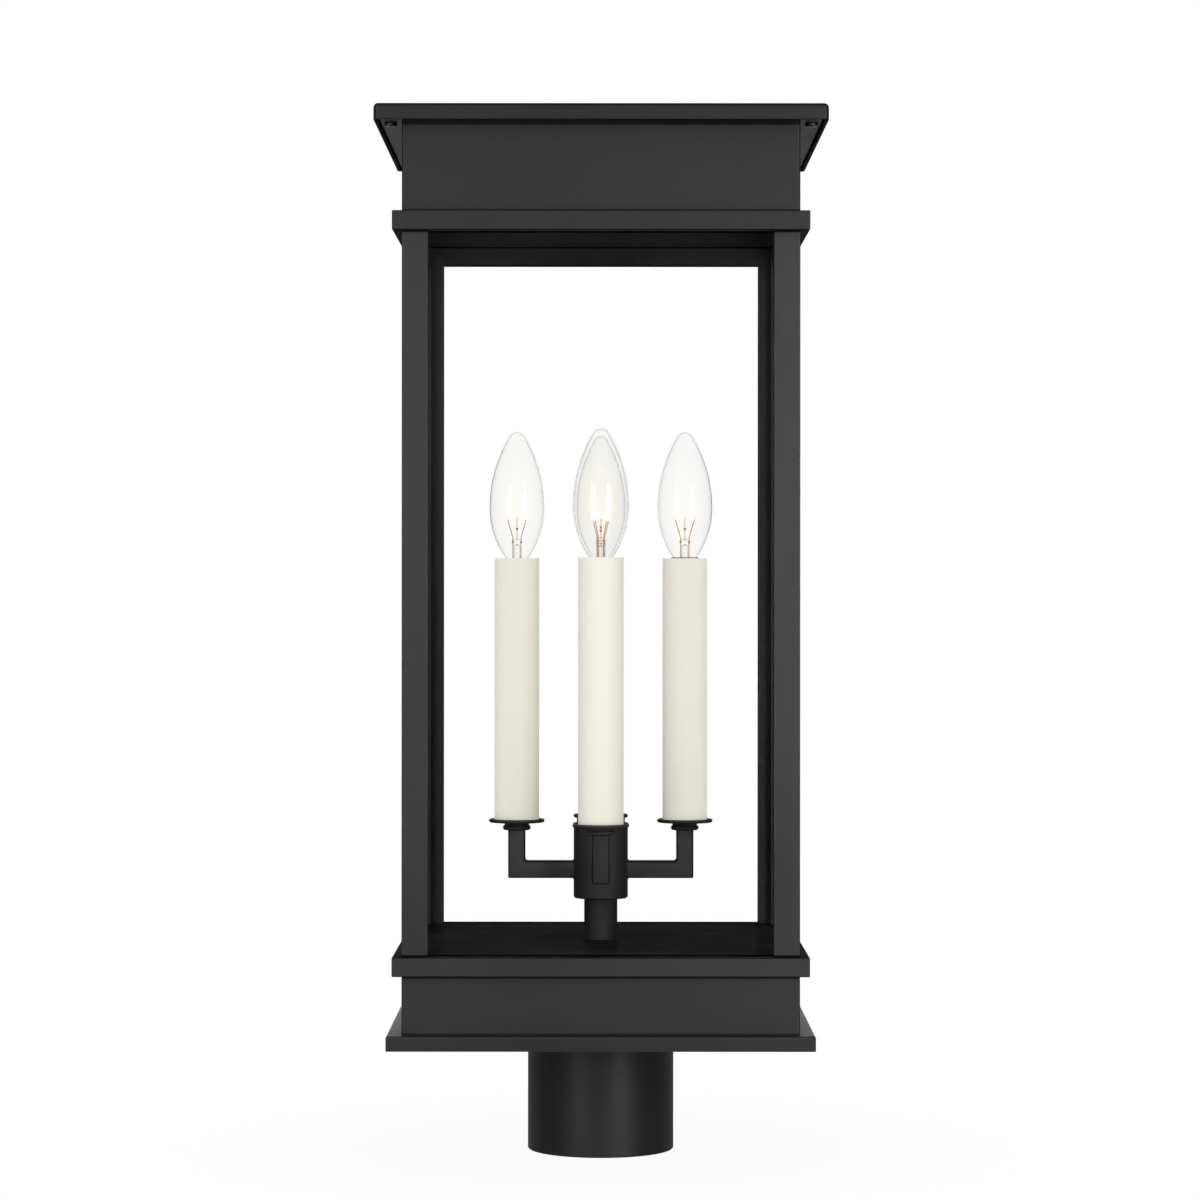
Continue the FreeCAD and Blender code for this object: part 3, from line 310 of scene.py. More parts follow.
def brushed_group():
    """Fine scratches round a turned or rolled metal piece."""
    group, given, out = new_group("Brushed metal", {"Scale": 600.0, "Stretch": 12.0},
                                  ("Height", "Streaks"))
    factors = node(group, "ShaderNodeCombineXYZ", {"X": 1.0, "Y": 1.0, "Z": given["Stretch"]})
    place = stretched_place(group, factors.outputs[0])
    lines = noise(group, place, given["Scale"], detail=2.0)
    plug(group, out, {"Height": lines, "Streaks": lines})
    return group


def shade_group():
    """Painted shade: darker paint inside the lantern and along both ends of a piece."""
    group, given, out = new_group(
        "Sheltered paint",
        {"Low end": -1.0, "High end": 2.0, "Low width": 0.001, "High width": 0.001,
         "Inner shade": 0.5, "Seam shade": 0.8, "Open top": 0.0},
        ("Light", "Seam"))
    run = partial(calc, group)
    x, y, z = object_parts(group)
    reach = run("MAXIMUM", run("ABSOLUTE", x), run("ABSOLUTE", y))
    side = FRIEZE_HIGH.x
    # painted shade: paint inside the frame is darkened as if the frame kept the light off it
    inner = run("MULTIPLY", ramp(group, reach, side - 1.0 * MM, side - 0.4 * MM, 1.0, 0.0),
                ramp(group, z, PLATE_HIGH.z + 0.5 * MM, PLATE_HIGH.z + 1.0 * MM),
                run("LESS_THAN", z, FRIEZE_HIGH.z), given["Inner shade"])
    rise = run("SUBTRACT", z, given["Low end"])
    fall = run("SUBTRACT", given["High end"], z)
    # on an open flat top the high end counts as far away
    top = run("MULTIPLY", run("LESS_THAN", fall, 0.02 * MM), given["Open top"], 10.0)
    closest = run("MINIMUM", run("DIVIDE", rise, given["Low width"]),
                  run("ADD", run("DIVIDE", fall, given["High width"]), top))
    # painted shade: a dark band at each end of a piece, where it meets the next one
    seam = run("MULTIPLY", ramp(group, closest, 0.7, 1.2, 1.0, 0.0), given["Seam shade"])
    light = run("MULTIPLY", run("SUBTRACT", 1.0, inner), run("SUBTRACT", 1.0, seam))
    plug(group, out, {"Light": light, "Seam": seam})
    return group


def edge_shade_group():
    """Painted shade: a dark line along each edge of the arms' square bars."""
    group, _, out = new_group("Arm edges", {}, ("Edge",))
    run = partial(calc, group)
    x, y, z = object_parts(group)
    x, y = run("ABSOLUTE", x), run("ABSOLUTE", y)
    along = run("MAXIMUM", x, y)
    side = run("SUBTRACT", ARM_BAR / 2, run("MINIMUM", x, y))
    above = run("SUBTRACT", z, ARM_LOW.z + ARM_BAR)
    beyond = run("SUBTRACT", along, ARM_HIGH.x - ARM_BAR)
    top = run("ADD", run("ABSOLUTE", above), run("GREATER_THAN", beyond, 0.0))
    inner = run("ADD", run("ABSOLUTE", beyond), run("LESS_THAN", above, 0.0))
    low = run("MINIMUM", run("SUBTRACT", z, ARM_LOW.z), top)
    end = run("MINIMUM", run("SUBTRACT", ARM_HIGH.x, along), inner)
    # the second smallest distance is small only beside an edge
    near = run("MINIMUM", side, low)
    far = run("MINIMUM", run("MAXIMUM", side, low), end)
    second = run("MAXIMUM", near, far)
    plug(group, out, {"Edge": ramp(group, second, 0.45 * MM, 0.95 * MM, 0.95, 0.0)})
    return group


GROUP_MAKERS = {"grain": grain_group, "brushed": brushed_group, "shade": shade_group,
                "edges": edge_shade_group}
GROUPS = {}


def use_group(tree, name, **values):
    """Places a shared effect, built the first time it is asked for, and returns its outputs."""
    if name not in GROUPS:
        GROUPS[name] = GROUP_MAKERS[name]()
    inputs = {key.replace("_", " ").capitalize(): value for key, value in values.items()}
    return node(tree, "ShaderNodeGroup", inputs, node_tree=GROUPS[name]).outputs


def empty_tree(owner):
    """Gives a material or a world an empty node tree."""
    owner.use_nodes = True
    owner.node_tree.nodes.clear()
    return owner.node_tree


# ---- Finishes ----

def paint_finish(tree, base, shine, rough=0.42, height=0.45, scale=900.0, shaded_ends=None, seam=0.8,
                 open_top=0.0, edge_shaded=False):
    """Powder coat: fine grain, soft patches, and paler specks where the grain stands up.

    Shaded ends are the heights between which a piece lies and how wide its seams of painted
    shade are there, in millimetres; painted seam shade is how dark those are. An open top of 1
    keeps its flat top face free of them. An edge-shaded piece has painted shade on an arm's edges.
    """
    grain = use_group(tree, "grain", scale=scale, patch_scale=9.0, speckle=0.55)
    limits = {}
    if shaded_ends:
        limits = dict(low_end=shaded_ends[0], high_end=shaded_ends[1], low_width=shaded_ends[2] * MM,
                      high_width=shaded_ends[3] * MM, seam_shade=seam, open_top=open_top)
    shade = use_group(tree, "shade", **limits)
    patched = mix(tree, grain["Patches"], rgba(base, 0.92), rgba(base, 1.10))
    speckled = mix(tree, grain["Speckle mask"], patched, rgba(base, 1.9))
    worn = ramp(tree, grain["Patches"], 0.0, 1.0, rough - 0.05, rough + 0.05)
    # base colour and roughness carry the painted shade: darker and duller inside and at seams
    inputs = {"Base Color": mix(tree, shade["Light"], rgba(base, 0.0), speckled),
              "Roughness": ramp(tree, shade["Light"], 0.0, 1.0, 1.0, worn),
              "Normal": bump(tree, grain["Height"], strength=height, distance=0.12 * MM),
              "Specular IOR Level": shine}
    # Metallic deepens the painted shade on an arm's edges and on a piece's seams
    if edge_shaded:
        inputs["Metallic"] = use_group(tree, "edges")["Edge"]
    elif shaded_ends:
        inputs["Metallic"] = shade["Seam"]
    return inputs


def floor_paint_finish(tree, tone):
    """Smooth dark paint with cloudy patches under a thin clear coat that mirrors faintly."""
    grain = use_group(tree, "grain", scale=500.0, patch_scale=16.0, speckle=0.2)
    # the cloudy patches are partly random tone and partly painted reflection of dark things in the
    # front pane
    tone_and_reflection_patches = grain["Patches"]
    return {"Base Color": mix(tree, tone_and_reflection_patches, rgba(tone.floor_paint, 0.45),
                              rgba(tone.floor_paint, 1.25)),
            "Coat Weight": ramp(tree, tone_and_reflection_patches, 0.0, 1.0, 0.010, 0.005),
            "Normal": bump(tree, grain["Height"], strength=0.06, distance=0.1 * MM),
            "Specular IOR Level": 0.0, "Roughness": 0.7, "Coat Roughness": 0.16}


def metal_finish(tree, base, rough, metallic=1.0):
    """Bare or plated metal with fine turning marks."""
    marks = use_group(tree, "brushed", scale=700.0, stretch=10.0)
    return {"Base Color": mix(tree, marks["Streaks"], rgba(base, 0.85), rgba(base, 1.08)),
            "Roughness": ramp(tree, marks["Streaks"], 0.0, 1.0, rough - 0.08, rough + 0.12),
            "Normal": bump(tree, marks["Height"], strength=0.15, distance=0.05 * MM),
            "Metallic": metallic}


def seen_share(tree, path):
    """1 for a ray that comes from the camera, straight or through glass."""
    return calc(tree, "MAXIMUM", path["Is Camera Ray"], path["Is Transmission Ray"])


def mirror_share(tree, path):
    """1 for a ray that a surface has mirrored and that has not come through glass."""
    direct = calc(tree, "SUBTRACT", 1.0, path["Is Transmission Ray"])
    return calc(tree, "MULTIPLY", path["Is Glossy Ray"], direct)


def lamps_through(tree, shader):
    """Lets light and reflections of the room pass straight through a glass shader."""
    path = node(tree, "ShaderNodeLightPath").outputs
    share = calc(tree, "MAXIMUM", path["Is Shadow Ray"], path["Is Diffuse Ray"],
                 mirror_share(tree, path))
    return mix_shaders(tree, share, shader, node(tree, "ShaderNodeBsdfTransparent"))


def pane_glass_finish(tree, tone):
    """Clear sheet glass, a little darker edge on, with painted shade at its foot and head."""
    _, steep = edge_on(tree, power=5.0)
    # painted shade: the glass goes black within half a millimetre of its foot and head
    shaded_ends = use_group(tree, "shade", low_end=PANE_LOW.z, high_end=PANE_HIGH.z,
                     low_width=0.5 * MM, high_width=0.5 * MM, inner_shade=0.0, seam_shade=1.0)
    clear = mix(tree, steep, rgba((1, 1, 1)), rgba((0.95, 0.97, 0.96)))
    return {"Base Color": mix(tree, shaded_ends["Light"], rgba((0, 0, 0)), clear),
            "Transmission Weight": 1.0, "IOR": 1.02, "Roughness": 0.0}


def stem_glass_finish(tree, tone):
    """The clear stem inside a bulb: bright in its middle, amber along its outline."""
    grain = use_group(tree, "grain", scale=900.0, patch_scale=300.0, speckle=0.2)
    _, steep = edge_on(tree, power=2.4)
    return {"Base Color": mix(tree, steep, rgba((0.98, 0.96, 0.90)), rgba(tone.amber)),
            "Roughness": ramp(tree, grain["Patches"], 0.0, 1.0, 0.08, 0.16),
            "Alpha": ramp(tree, steep, 0.0, 1.0, 0.03, 0.95)}


def bulb_glass_finish(tree, tone):
    """Blown glass: greyer edge on, faint upright streaks, and a painted glow by the filament."""
    height = calc(tree, "SUBTRACT", object_parts(tree)[2], SLEEVE_HIGH.z)
    facing, steep = edge_on(tree, power=6.0)
    streaks = noise(tree, stretched_place(tree, (1.0, 1.0, 0.06)), scale=420.0, detail=3.0)
    veiled = mix(tree, ramp(tree, streaks, 0.45, 0.75), rgba((0.986, 0.986, 0.984)),
                 rgba((1.0, 0.985, 0.955)))
    # painted light: a warm glow on the glass at the filament's height, where it faces the view
    lit = ramp(tree, height, 16 * MM, 24 * MM)
    unlit = ramp(tree, height, 34 * MM, 56 * MM, 1.0, 0.0)
    near = calc(tree, "POWER", calc(tree, "SUBTRACT", 1.0, facing), 3.0)
    painted_filament_glow = mix(tree, calc(tree, "MULTIPLY", lit, unlit, near), veiled,
                 rgba((1.0, 0.992, 0.962)))
    rim = mix(tree, ramp(tree, height, 50 * MM, 56 * MM), rgba(tone.bulb_edge),
              rgba(tone.bulb_edge, 0.5))
    return {"Base Color": mix(tree, steep, painted_filament_glow, rim), "Transmission Weight": 1.0,
            "IOR": 1.03, "Roughness": 0.0, "Coat Weight": 0.3, "Coat Roughness": 0.05}


def ivory_finish(tree, tone):
    """Matt ivory sleeve: fine skin, soft patches and a paler rim at its foot."""
    grain = use_group(tree, "grain", scale=1500.0, patch_scale=30.0, speckle=0.3)
    foot = ramp(tree, object_parts(tree)[2], SLEEVE_LOW.z + 0.6 * MM, SLEEVE_LOW.z + 1.5 * MM,
                1.0, 0.0)
    toned = mix(tree, grain["Patches"], rgba(tone.ivory, 0.985), rgba(tone.ivory))
    return {"Base Color": mix(tree, foot, toned, rgba(tone.ivory_edge)),
            "Roughness": ramp(tree, grain["Patches"], 0.0, 1.0, 0.55, 0.66),
            "Normal": bump(tree, grain["Height"], strength=0.10, distance=0.05 * MM),
            "Specular IOR Level": 0.3}


def glow_finish(tree, tone):
    """Hot filament."""
    grain = use_group(tree, "grain", scale=4000.0, patch_scale=300.0, speckle=0.3)
    toned = mix(tree, grain["Patches"], rgba(tone.glow, 0.9), rgba(tone.glow))
    return {"Base Color": toned, "Emission Color": toned, "Emission Strength": 3.0,
            "Roughness": 0.5}


# copies of the one black powder coat, whose shine is set piece by piece for how much light each
# gets: lit and shaded copies, painted light and shade; their ends add seams of painted shade
PAINTS = {
    "black_paint": dict(shine=0.50),
    "soffit_paint": dict(shine=0.65, rough=0.55, height=0.30),
    "roof_paint": dict(shine=0.40, rough=0.44, shaded_ends=(ROOF_LOW.z, ROOF_HIGH.z, 0.25, 1.1),
                       seam=0.75, open_top=1.0),
    "arm_paint": dict(shine=1.00, edge_shaded=True),
    "front_arm_paint": dict(shine=0.55, edge_shaded=True),
    "hub_paint": dict(shine=0.62, rough=0.40, height=0.60),
    "disc_paint": dict(shine=0.80, rough=0.40),
    "upper_collar_paint": dict(shine=0.47, shaded_ends=(UPPER_LOW.z, UPPER_HIGH.z, 0.3, 0.3)),
    "lower_collar_paint": dict(shine=0.62, shaded_ends=(LOWER_LOW.z, LOWER_HIGH.z, 0.3, 0.5)),
    "frieze_paint": dict(shine=0.47, rough=0.44, shaded_ends=(FRIEZE_LOW.z, ROOF_LOW.z, 0.9, 1.2),
                         seam=0.6),
    "corner_post_paint": dict(shine=0.60, shaded_ends=(POST_LOW.z, POST_HIGH.z, 0.9, 0.9)),
    "base_paint": dict(shine=0.54, rough=0.44, shaded_ends=(BASE_LOW.z, BASE_HIGH.z, 0.7, 1.3),
                       seam=0.5),
    "black_screw": dict(shine=0.45, rough=0.40, height=0.15, scale=1400.0),
    "socket_black": dict(shine=0.40, rough=0.50, height=0.12, scale=1600.0),
}
METALS = {"copper_wire": ("copper", 0.45, 0.0), "brass": ("brass", 0.28),
          "nickel": ("nickel", 0.28), "zinc_plate": ("zinc", 0.38)}
OTHER_FINISHES = {"floor_paint": floor_paint_finish, "clear_glass": pane_glass_finish,
                  "bulb_glass": bulb_glass_finish, "stem_glass": stem_glass_finish,
                  "ivory_sleeve": ivory_finish, "hot_filament": glow_finish}
CLEAR_GLASSES = ("clear_glass", "bulb_glass")
FINISHES = {}


def finish_named(name):
    """A finish by name, made the first time it is asked for."""
    if name not in FINISHES:
        tone = bpy.context.scene.lantern_finish
        made = bpy.data.materials.new(name.replace("_", " ").capitalize())
        tree = empty_tree(made)
        if name in PAINTS:
            base = tone.floor_paint if name == "socket_black" else tone.paint
            inputs = paint_finish(tree, base, **PAINTS[name])
        elif name in METALS:
            metal, *surface = METALS[name]
            inputs = metal_finish(tree, getattr(tone, metal), *surface)
        else:
            inputs = OTHER_FINISHES[name](tree, tone)
        shader = node(tree, "ShaderNodeBsdfPrincipled", inputs)
        if name in CLEAR_GLASSES:
            shader = lamps_through(tree, shader)
        node(tree, "ShaderNodeOutputMaterial", {"Surface": shader.outputs[0]})
        FINISHES[name] = made
    return FINISHES[name]


def coat(thing, name):
    """Gives an object one finish."""
    thing.data.materials.clear()
    thing.data.materials.append(finish_named(name))


def coat_nodes(finish, *names):
    """Gives CAD nodes a finish."""
    for name in names:
        coat(frame["nodes"][name], finish)


# ---- Modelling helpers ----

def deselect():
    """Leaves nothing selected, in object mode."""
    if bpy.context.object and bpy.context.object.mode != "OBJECT":
        bpy.ops.object.mode_set(mode="OBJECT")
    bpy.ops.object.select_all(action="DESELECT")


def pick(thing):
    """Selects one object and makes it active."""
    deselect()
    thing.select_set(True)
    bpy.context.view_layer.objects.active = thing


def settle(thing):
    """Writes an object's place, turn and size into its mesh."""
    pick(thing)
    bpy.ops.object.transform_apply(location=True, rotation=True, scale=True)


def smooth(thing, degrees):
    """Smooth shading, with edges over an angle kept sharp."""
    pick(thing)
    bpy.ops.object.shade_smooth_by_angle(angle=math.radians(degrees))


def named(thing, name):
    """Names an object and its mesh."""
    thing.name = name
    thing.data.name = name
    return thing


def edit_all():
    """Enters edit mode with the whole mesh selected."""
    bpy.ops.object.mode_set(mode="EDIT")
    bpy.ops.mesh.select_all(action="SELECT")


def clean_mesh():
    """Merges the active mesh's double points, turns its faces outwards, leaves edit mode."""
    edit_all()
    bpy.ops.mesh.remove_doubles(threshold=MERGE)
    bpy.ops.mesh.normals_make_consistent(inside=False)
    bpy.ops.object.mode_set(mode="OBJECT")


def drawn_line(name, points):
    """A chain of edges through the points, drawn by extruding one vertex."""
    deselect()
    bpy.ops.mesh.primitive_plane_add(size=MM, location=points[0])
    line = named(bpy.context.object, name)
    bpy.ops.object.transform_apply(location=True)
    bpy.ops.object.mode_set(mode="EDIT")
    bpy.ops.mesh.select_mode(type="VERT")
    bpy.ops.mesh.select_all(action="SELECT")
    bpy.ops.mesh.merge(type="CENTER")
    for before, after in zip(points, points[1:]):
        step = Vector(after) - Vector(before)
        bpy.ops.mesh.extrude_vertices_move(TRANSFORM_OT_translate={"value": step})
    bpy.ops.object.mode_set(mode="OBJECT")
    return line


def turned_piece(name, outline, steps, sharp=40):
    """Spins an outline of (radius, height) points about the Z axis into a closed piece."""
    piece = drawn_line(name, [(radius, 0, height) for radius, height in outline])
    edit_all()
    bpy.ops.mesh.spin(steps=steps, angle=math.tau, center=(0, 0, 0), axis=(0, 0, 1))
    clean_mesh()
    smooth(piece, sharp)
    return piece


def wire_piece(name, points, radius, sides=2, closed=False):
    """A round wire through the points, which may come back to its start."""
    wire = drawn_line(name, [*points, points[0]] if closed else points)
    if closed:
        clean_mesh()
    pick(wire)
    bpy.ops.object.convert(target="CURVE")
    wire = bpy.context.object
    wire.data.bevel_depth = radius
    wire.data.bevel_resolution = sides
    wire.data.use_fill_caps = True
    bpy.ops.object.convert(target="MESH")
    clean_mesh()
    smooth(bpy.context.object, degrees=50)
    return bpy.context.object


def drawn_out(name, outline, way):
    """A flat outline, closed, filled and drawn out along a vector."""
    piece = drawn_line(name, [*outline, outline[0]])
    clean_mesh()
    edit_all()
    bpy.ops.mesh.edge_face_add()
    bpy.ops.mesh.extrude_region_move(TRANSFORM_OT_translate={"value": way})
    clean_mesh()
    return piece


def joined(name, pieces):
    """Joins pieces of one material into one object."""
    deselect()
    for piece in pieces:
        piece.select_set(True)
    bpy.context.view_layer.objects.active = pieces[0]
    bpy.ops.object.join()
    return named(bpy.context.object, name)


def placed(model, name, place=(0, 0, 0), turn=0.0):
    """A copy of a model with its own mesh, turned about Z and moved to a place."""
    pick(model)
    bpy.ops.object.duplicate(linked=False)
    made = named(bpy.context.object, name)
    made.rotation_euler.z = turn
    made.location = place
    settle(made)
    return made


def at_spots(model, spots, name):
    """Copies a model to several places, joins the copies and removes the model."""
    made = [placed(model, name, spot) for spot in spots]
    bpy.data.objects.remove(model)
    return joined(name, made)


def combined(piece, other, operation):
    """Cuts another piece out of one, or keeps what both share, and removes the other."""
    pick(piece)
    modifier = piece.modifiers.new("Cut", "BOOLEAN")
    modifier.operation = operation
    modifier.object = other
    bpy.ops.object.modifier_apply(modifier=modifier.name)
    bpy.data.objects.remove(other)


def bevelled(piece, width):
    """Rounds the sharp edges of a piece."""
    pick(piece)
    bevel = piece.modifiers.new("Rounded edges", "BEVEL")
    bevel.width = width
    bevel.segments = 3
    bevel.limit_method = "ANGLE"
    bevel.angle_limit = math.radians(50)
    bpy.ops.object.modifier_apply(modifier=bevel.name)
    smooth(piece, degrees=30)


def slab(width, depth, height, place):
    """A plain block that only serves to cut a recess."""
    deselect()
    bpy.ops.mesh.primitive_cube_add(size=1, location=place)
    block = bpy.context.object
    block.scale = (width, depth, height)
    settle(block)
    return block


def arc_points(centre_r, centre_z, radius, start, end, count):
    """Points on an arc of an outline, both ends included, angles in radians."""
    turns = [start + (end - start) * i / count for i in range(count + 1)]
    return [(centre_r + radius * math.cos(turn), centre_z + radius * math.sin(turn))
            for turn in turns]


def ball(name, height, radius, rows, steps):
    """A small round bead on the Z axis."""
    outline = arc_points(0, height, radius, QUARTER, -QUARTER, rows)
    return turned_piece(name, outline, steps, sharp=80)


def thread_wave(root, crest, low, high, pitch):
    """Outline points of a cut thread between two heights, from the lower one up."""
    turns = max(1, int((high - low) / pitch))
    step = (high - low) / turns
    shape = ((root, 0.10), (crest, 0.42), (crest, 0.58), (root, 0.90))
    return [(radius, low + step * (i + share)) for i in range(turns) for radius, share in shape]


def rolled_wave(start, end, low, pitch, turns, rows):
    """Outline points of a rolled thread, whose radius goes to the end one and back each turn."""
    return [(start + (end - start) * (0.5 - 0.5 * math.cos(math.tau * i / rows)),
             low + pitch * i / rows) for i in range(rows * turns + 1)]


def pan_screw(sizes, head, head_height, shank_radius, shank, edge):
    """A pan head screw with a cross recess, its head below and its shank above height 0."""
    root = shank_radius - sizes.thread_depth
    outline = [(0, -head_height)]
    outline += arc_points(head - edge, -head_height + edge, edge, -QUARTER, 0, count=5)
    outline += [(head, -0.15 * MM), (head - 0.15 * MM, 0), (shank_radius, 0)]
    outline += thread_wave(root, shank_radius, 0.3 * MM, shank - 0.6 * MM, sizes.screw_pitch)
    outline += [(root, shank - 0.4 * MM), (root - 0.4 * MM, shank), (0, shank)]
    screw = turned_piece("screw", outline, steps=32)
    span, blade, depth = head * 1.15, head * 0.26, head_height * 1.1
    for width, across in ((span, blade), (blade, span)):
        combined(screw, slab(width, across, depth, (0, 0, -head_height)), "DIFFERENCE")
    return screw


def corners(x, y, height):
    """The four corners of a rectangle about the Z axis, at a height."""
    return [(side * x, end * y, height) for side in (-1, 1) for end in (-1, 1)]


def candle_places(height):
    """A point on each candle's axis, in the order of the sides."""
    return [(CANDLE_REACH * round(math.cos(math.radians(turn))),
             CANDLE_REACH * round(math.sin(math.radians(turn))), height)
            for turn in SIDES.values()]


def fit_piece(piece, body, slot, finish, *replaced):
    """Coats a finished piece, ties it to its body and hides the nodes it stands for; the slot is not
    used.
    """
    coat(piece, finish)
    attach(piece, body)
    if replaced:
        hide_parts(*replaced)


# ---- Bulbs, drawn on the Z axis with height 0 at the sleeve's top ----

def bulb_outline(sizes, inset):
    """A bulb's outline from its tip down to its neck, as (radius, height)."""
    top = GLASS_HIGH.z - SLEEVE_HIGH.z
    neck = CAP_RADIUS + 0.35 * MM
    belly = sizes.belly
    shoulder = BULB_RADIUS - neck
    foot_radius = (belly ** 2 / shoulder + shoulder) / 2
    tip = sizes.tip_radius
    rise = top - tip - belly
    side_radius = (BULB_RADIUS ** 2 + rise ** 2 - tip ** 2) / (2 * (BULB_RADIUS - tip))
    side_centre = BULB_RADIUS - side_radius
    slope = math.atan2(rise, -side_centre)
    low_centre = BULB_RADIUS - foot_radius
    low_angle = math.atan2(-belly, neck - low_centre)
    points = [(0.0, top - inset)]
    points += arc_points(0, top - tip, tip - inset, QUARTER, slope, count=8)[1:]
    points += arc_points(side_centre, belly, side_radius - inset, slope, 0, count=18)[1:]
    points += arc_points(low_centre, belly, foot_radius - inset, 0, low_angle, count=12)[1:]
    return [*points, (neck - inset, GLASS_FOOT)]


def bulb_glass(sizes):
    """The bulb's glass, with its wall."""
    outline = bulb_outline(sizes, 0.0) + bulb_outline(sizes, sizes.wall)[::-1]
    return turned_piece("bulb_glass", outline, steps=72, sharp=60)


def bulb_stem(sizes):
    """The glass flare and stem that carries the wires, pinched flat at its top."""
    flare = CAP_RADIUS - 0.5 * MM
    radius = sizes.stem_radius
    pinch = sizes.pinch
    bore = radius * 0.72
    outline = [(0, pinch + 0.4 * MM), (radius * 0.55, pinch + 0.2 * MM),
               (radius * 1.05, pinch - 0.6 * MM), (radius * 1.12, pinch - 1.6 * MM),
               (radius, pinch - 2.8 * MM), (radius, GLASS_FOOT + 0.8 * MM),
               (flare, GLASS_FOOT + 0.4 * MM), (flare, GLASS_FOOT), (bore, GLASS_FOOT),
               (bore, pinch - 3.6 * MM), (0, pinch - 2.6 * MM)]
    return turned_piece("bulb_stem", outline, steps=32, sharp=50)


def bulb_leads(sizes):
    """The two lead wires and the middle support."""
    root = sizes.stem_radius * 0.92
    reach = sizes.lead_reach
    pinch = sizes.pinch
    high = sizes.lead_height
    wires = []
    for way in (-1, 1):
        points = [(way * root, 0, -0.8 * MM), (way * root, 0, pinch - 1.2 * MM),
                  (way * root * 1.04, 0, pinch + 1.0 * MM),
                  (way * reach * 0.98, 0, high - 1.2 * MM), (way * reach, 0, high)]
        wires.append(wire_piece("lead", points, sizes.wire_radius))
    middle = [(0, 0, pinch - 1.0 * MM), (0, 0, high + sizes.support_rise)]
    wires.append(wire_piece("support", middle, sizes.wire_radius * 0.7))
    return joined("bulb_leads", wires)


def bulb_bead(sizes):
    """The small bead on the middle support."""
    height = (sizes.pinch + sizes.lead_height) / 2
    return ball("bulb_bead", height, sizes.bead_radius, rows=8, steps=16)


def bulb_knots(sizes):
    """The copper knots where the wires leave the pinch."""
    knots = []
    for way in (-1, 1):
        knot = ball("knot", sizes.pinch - 1.6 * MM, sizes.knot_radius, rows=6, steps=12)
        knot.location.x = way * sizes.stem_radius * 0.95
        settle(knot)
        knots.append(knot)
    return joined("bulb_knots", knots)


def bulb_filament(sizes):
    """The coiled filament: two halves that rise to the middle support."""
    end = Vector((0, 0, sizes.lead_height + sizes.support_rise))
    across = Vector((0, 1, 0))
    steps = 10
    count = sizes.coil_turns * steps
    halves = []
    for way in (-1, 1):
        start = Vector((way * sizes.lead_reach, 0, sizes.lead_height))
        up = (end - start).normalized().cross(across)
        points = []
        for i in range(count + 1):
            turn = math.tau * i / steps
            swell = sizes.coil_radius * min(1.0, i / steps, (count - i) / steps)
            points.append(start.lerp(end, i / count) + across * math.cos(turn) * swell
                          + up * math.sin(turn) * swell)
        halves.append(wire_piece("coil", points, sizes.filament_radius, sides=1))
    return joined("bulb_filament", halves)


def bulb_cap(sizes):
    """The screw cap: a rolled thread above a rounded tip contact."""
    top = CAP_HIGH.z - SLEEVE_HIGH.z
    foot = CAP_LOW.z - SLEEVE_HIGH.z
    root = CAP_RADIUS - sizes.thread_depth
    inner = root - 0.4 * MM
    skirt = foot + 2.6 * MM
    turns = int((top - 1.5 * MM - skirt) / sizes.thread_pitch)
    outline = [(0, foot + 1.0 * MM), (root * 0.62, foot + 1.0 * MM),
               (root * 0.9, skirt - 0.3 * MM)]
    outline += rolled_wave(root, CAP_RADIUS, skirt, sizes.thread_pitch, turns, rows=10)
    outline += [(root, top - 1.0 * MM), (CAP_RADIUS, top - 0.6 * MM), (CAP_RADIUS, top),
                (CAP_RADIUS - 0.4 * MM, top), (inner, top - 1.0 * MM), (inner, skirt),
                (0, skirt)]
    shell = turned_piece("bulb_cap", outline, steps=48, sharp=50)
    outline = [(0, foot), (1.6 * MM, foot + 0.1 * MM), (2.1 * MM, foot + 0.6 * MM),
               (1.9 * MM, foot + 1.4 * MM), (0, foot + 1.4 * MM)]
    contact = turned_piece("button", outline, steps=24, sharp=50)
    return joined("bulb_cap", [shell, contact])


class LANTERN_OT_bulbs(bpy.types.Operator):
    """Makes the four candle bulbs: glass, screw cap, stem, wires and filament"""
    bl_idname = "lantern.bulbs"
    bl_label = "Bulbs"

    def execute(self, context):
        turns = {"front": 50, "right": 4, "back": -35, "left": 16}
        # each model's maker, its finish, its slot, and whether it stands for that slot's node
        models = ((bulb_glass, "bulb_glass", "bulb_glass", True),
                  (bulb_cap, "nickel", "bulb_cap", True),
                  (bulb_stem, "stem_glass", "bulb_mount", True),
                  (bulb_leads, "copper_wire", "bulb_mount", False),
                  (bulb_bead, "copper_wire", "bulb_mount", False),
                  (bulb_knots, "copper_wire", "bulb_mount", False),
                  (bulb_filament, "hot_filament", "bulb_mount", False))
        for maker, finish, slot, stands_for in models:
            model = maker(context.scene.lantern_bulbs)
            for side, place in zip(SIDES, candle_places(SLEEVE_HIGH.z)):
                piece = placed(model, f"{model.name}_{side}", place, math.radians(turns[side]))
                replaced = [f"{slot}_{side}"] if stands_for else []
                fit_piece(piece, f"bulb_{side}", slot, finish, *replaced)
            bpy.data.objects.remove(model)
        return {"FINISHED"}


# ---- Candle arms ----

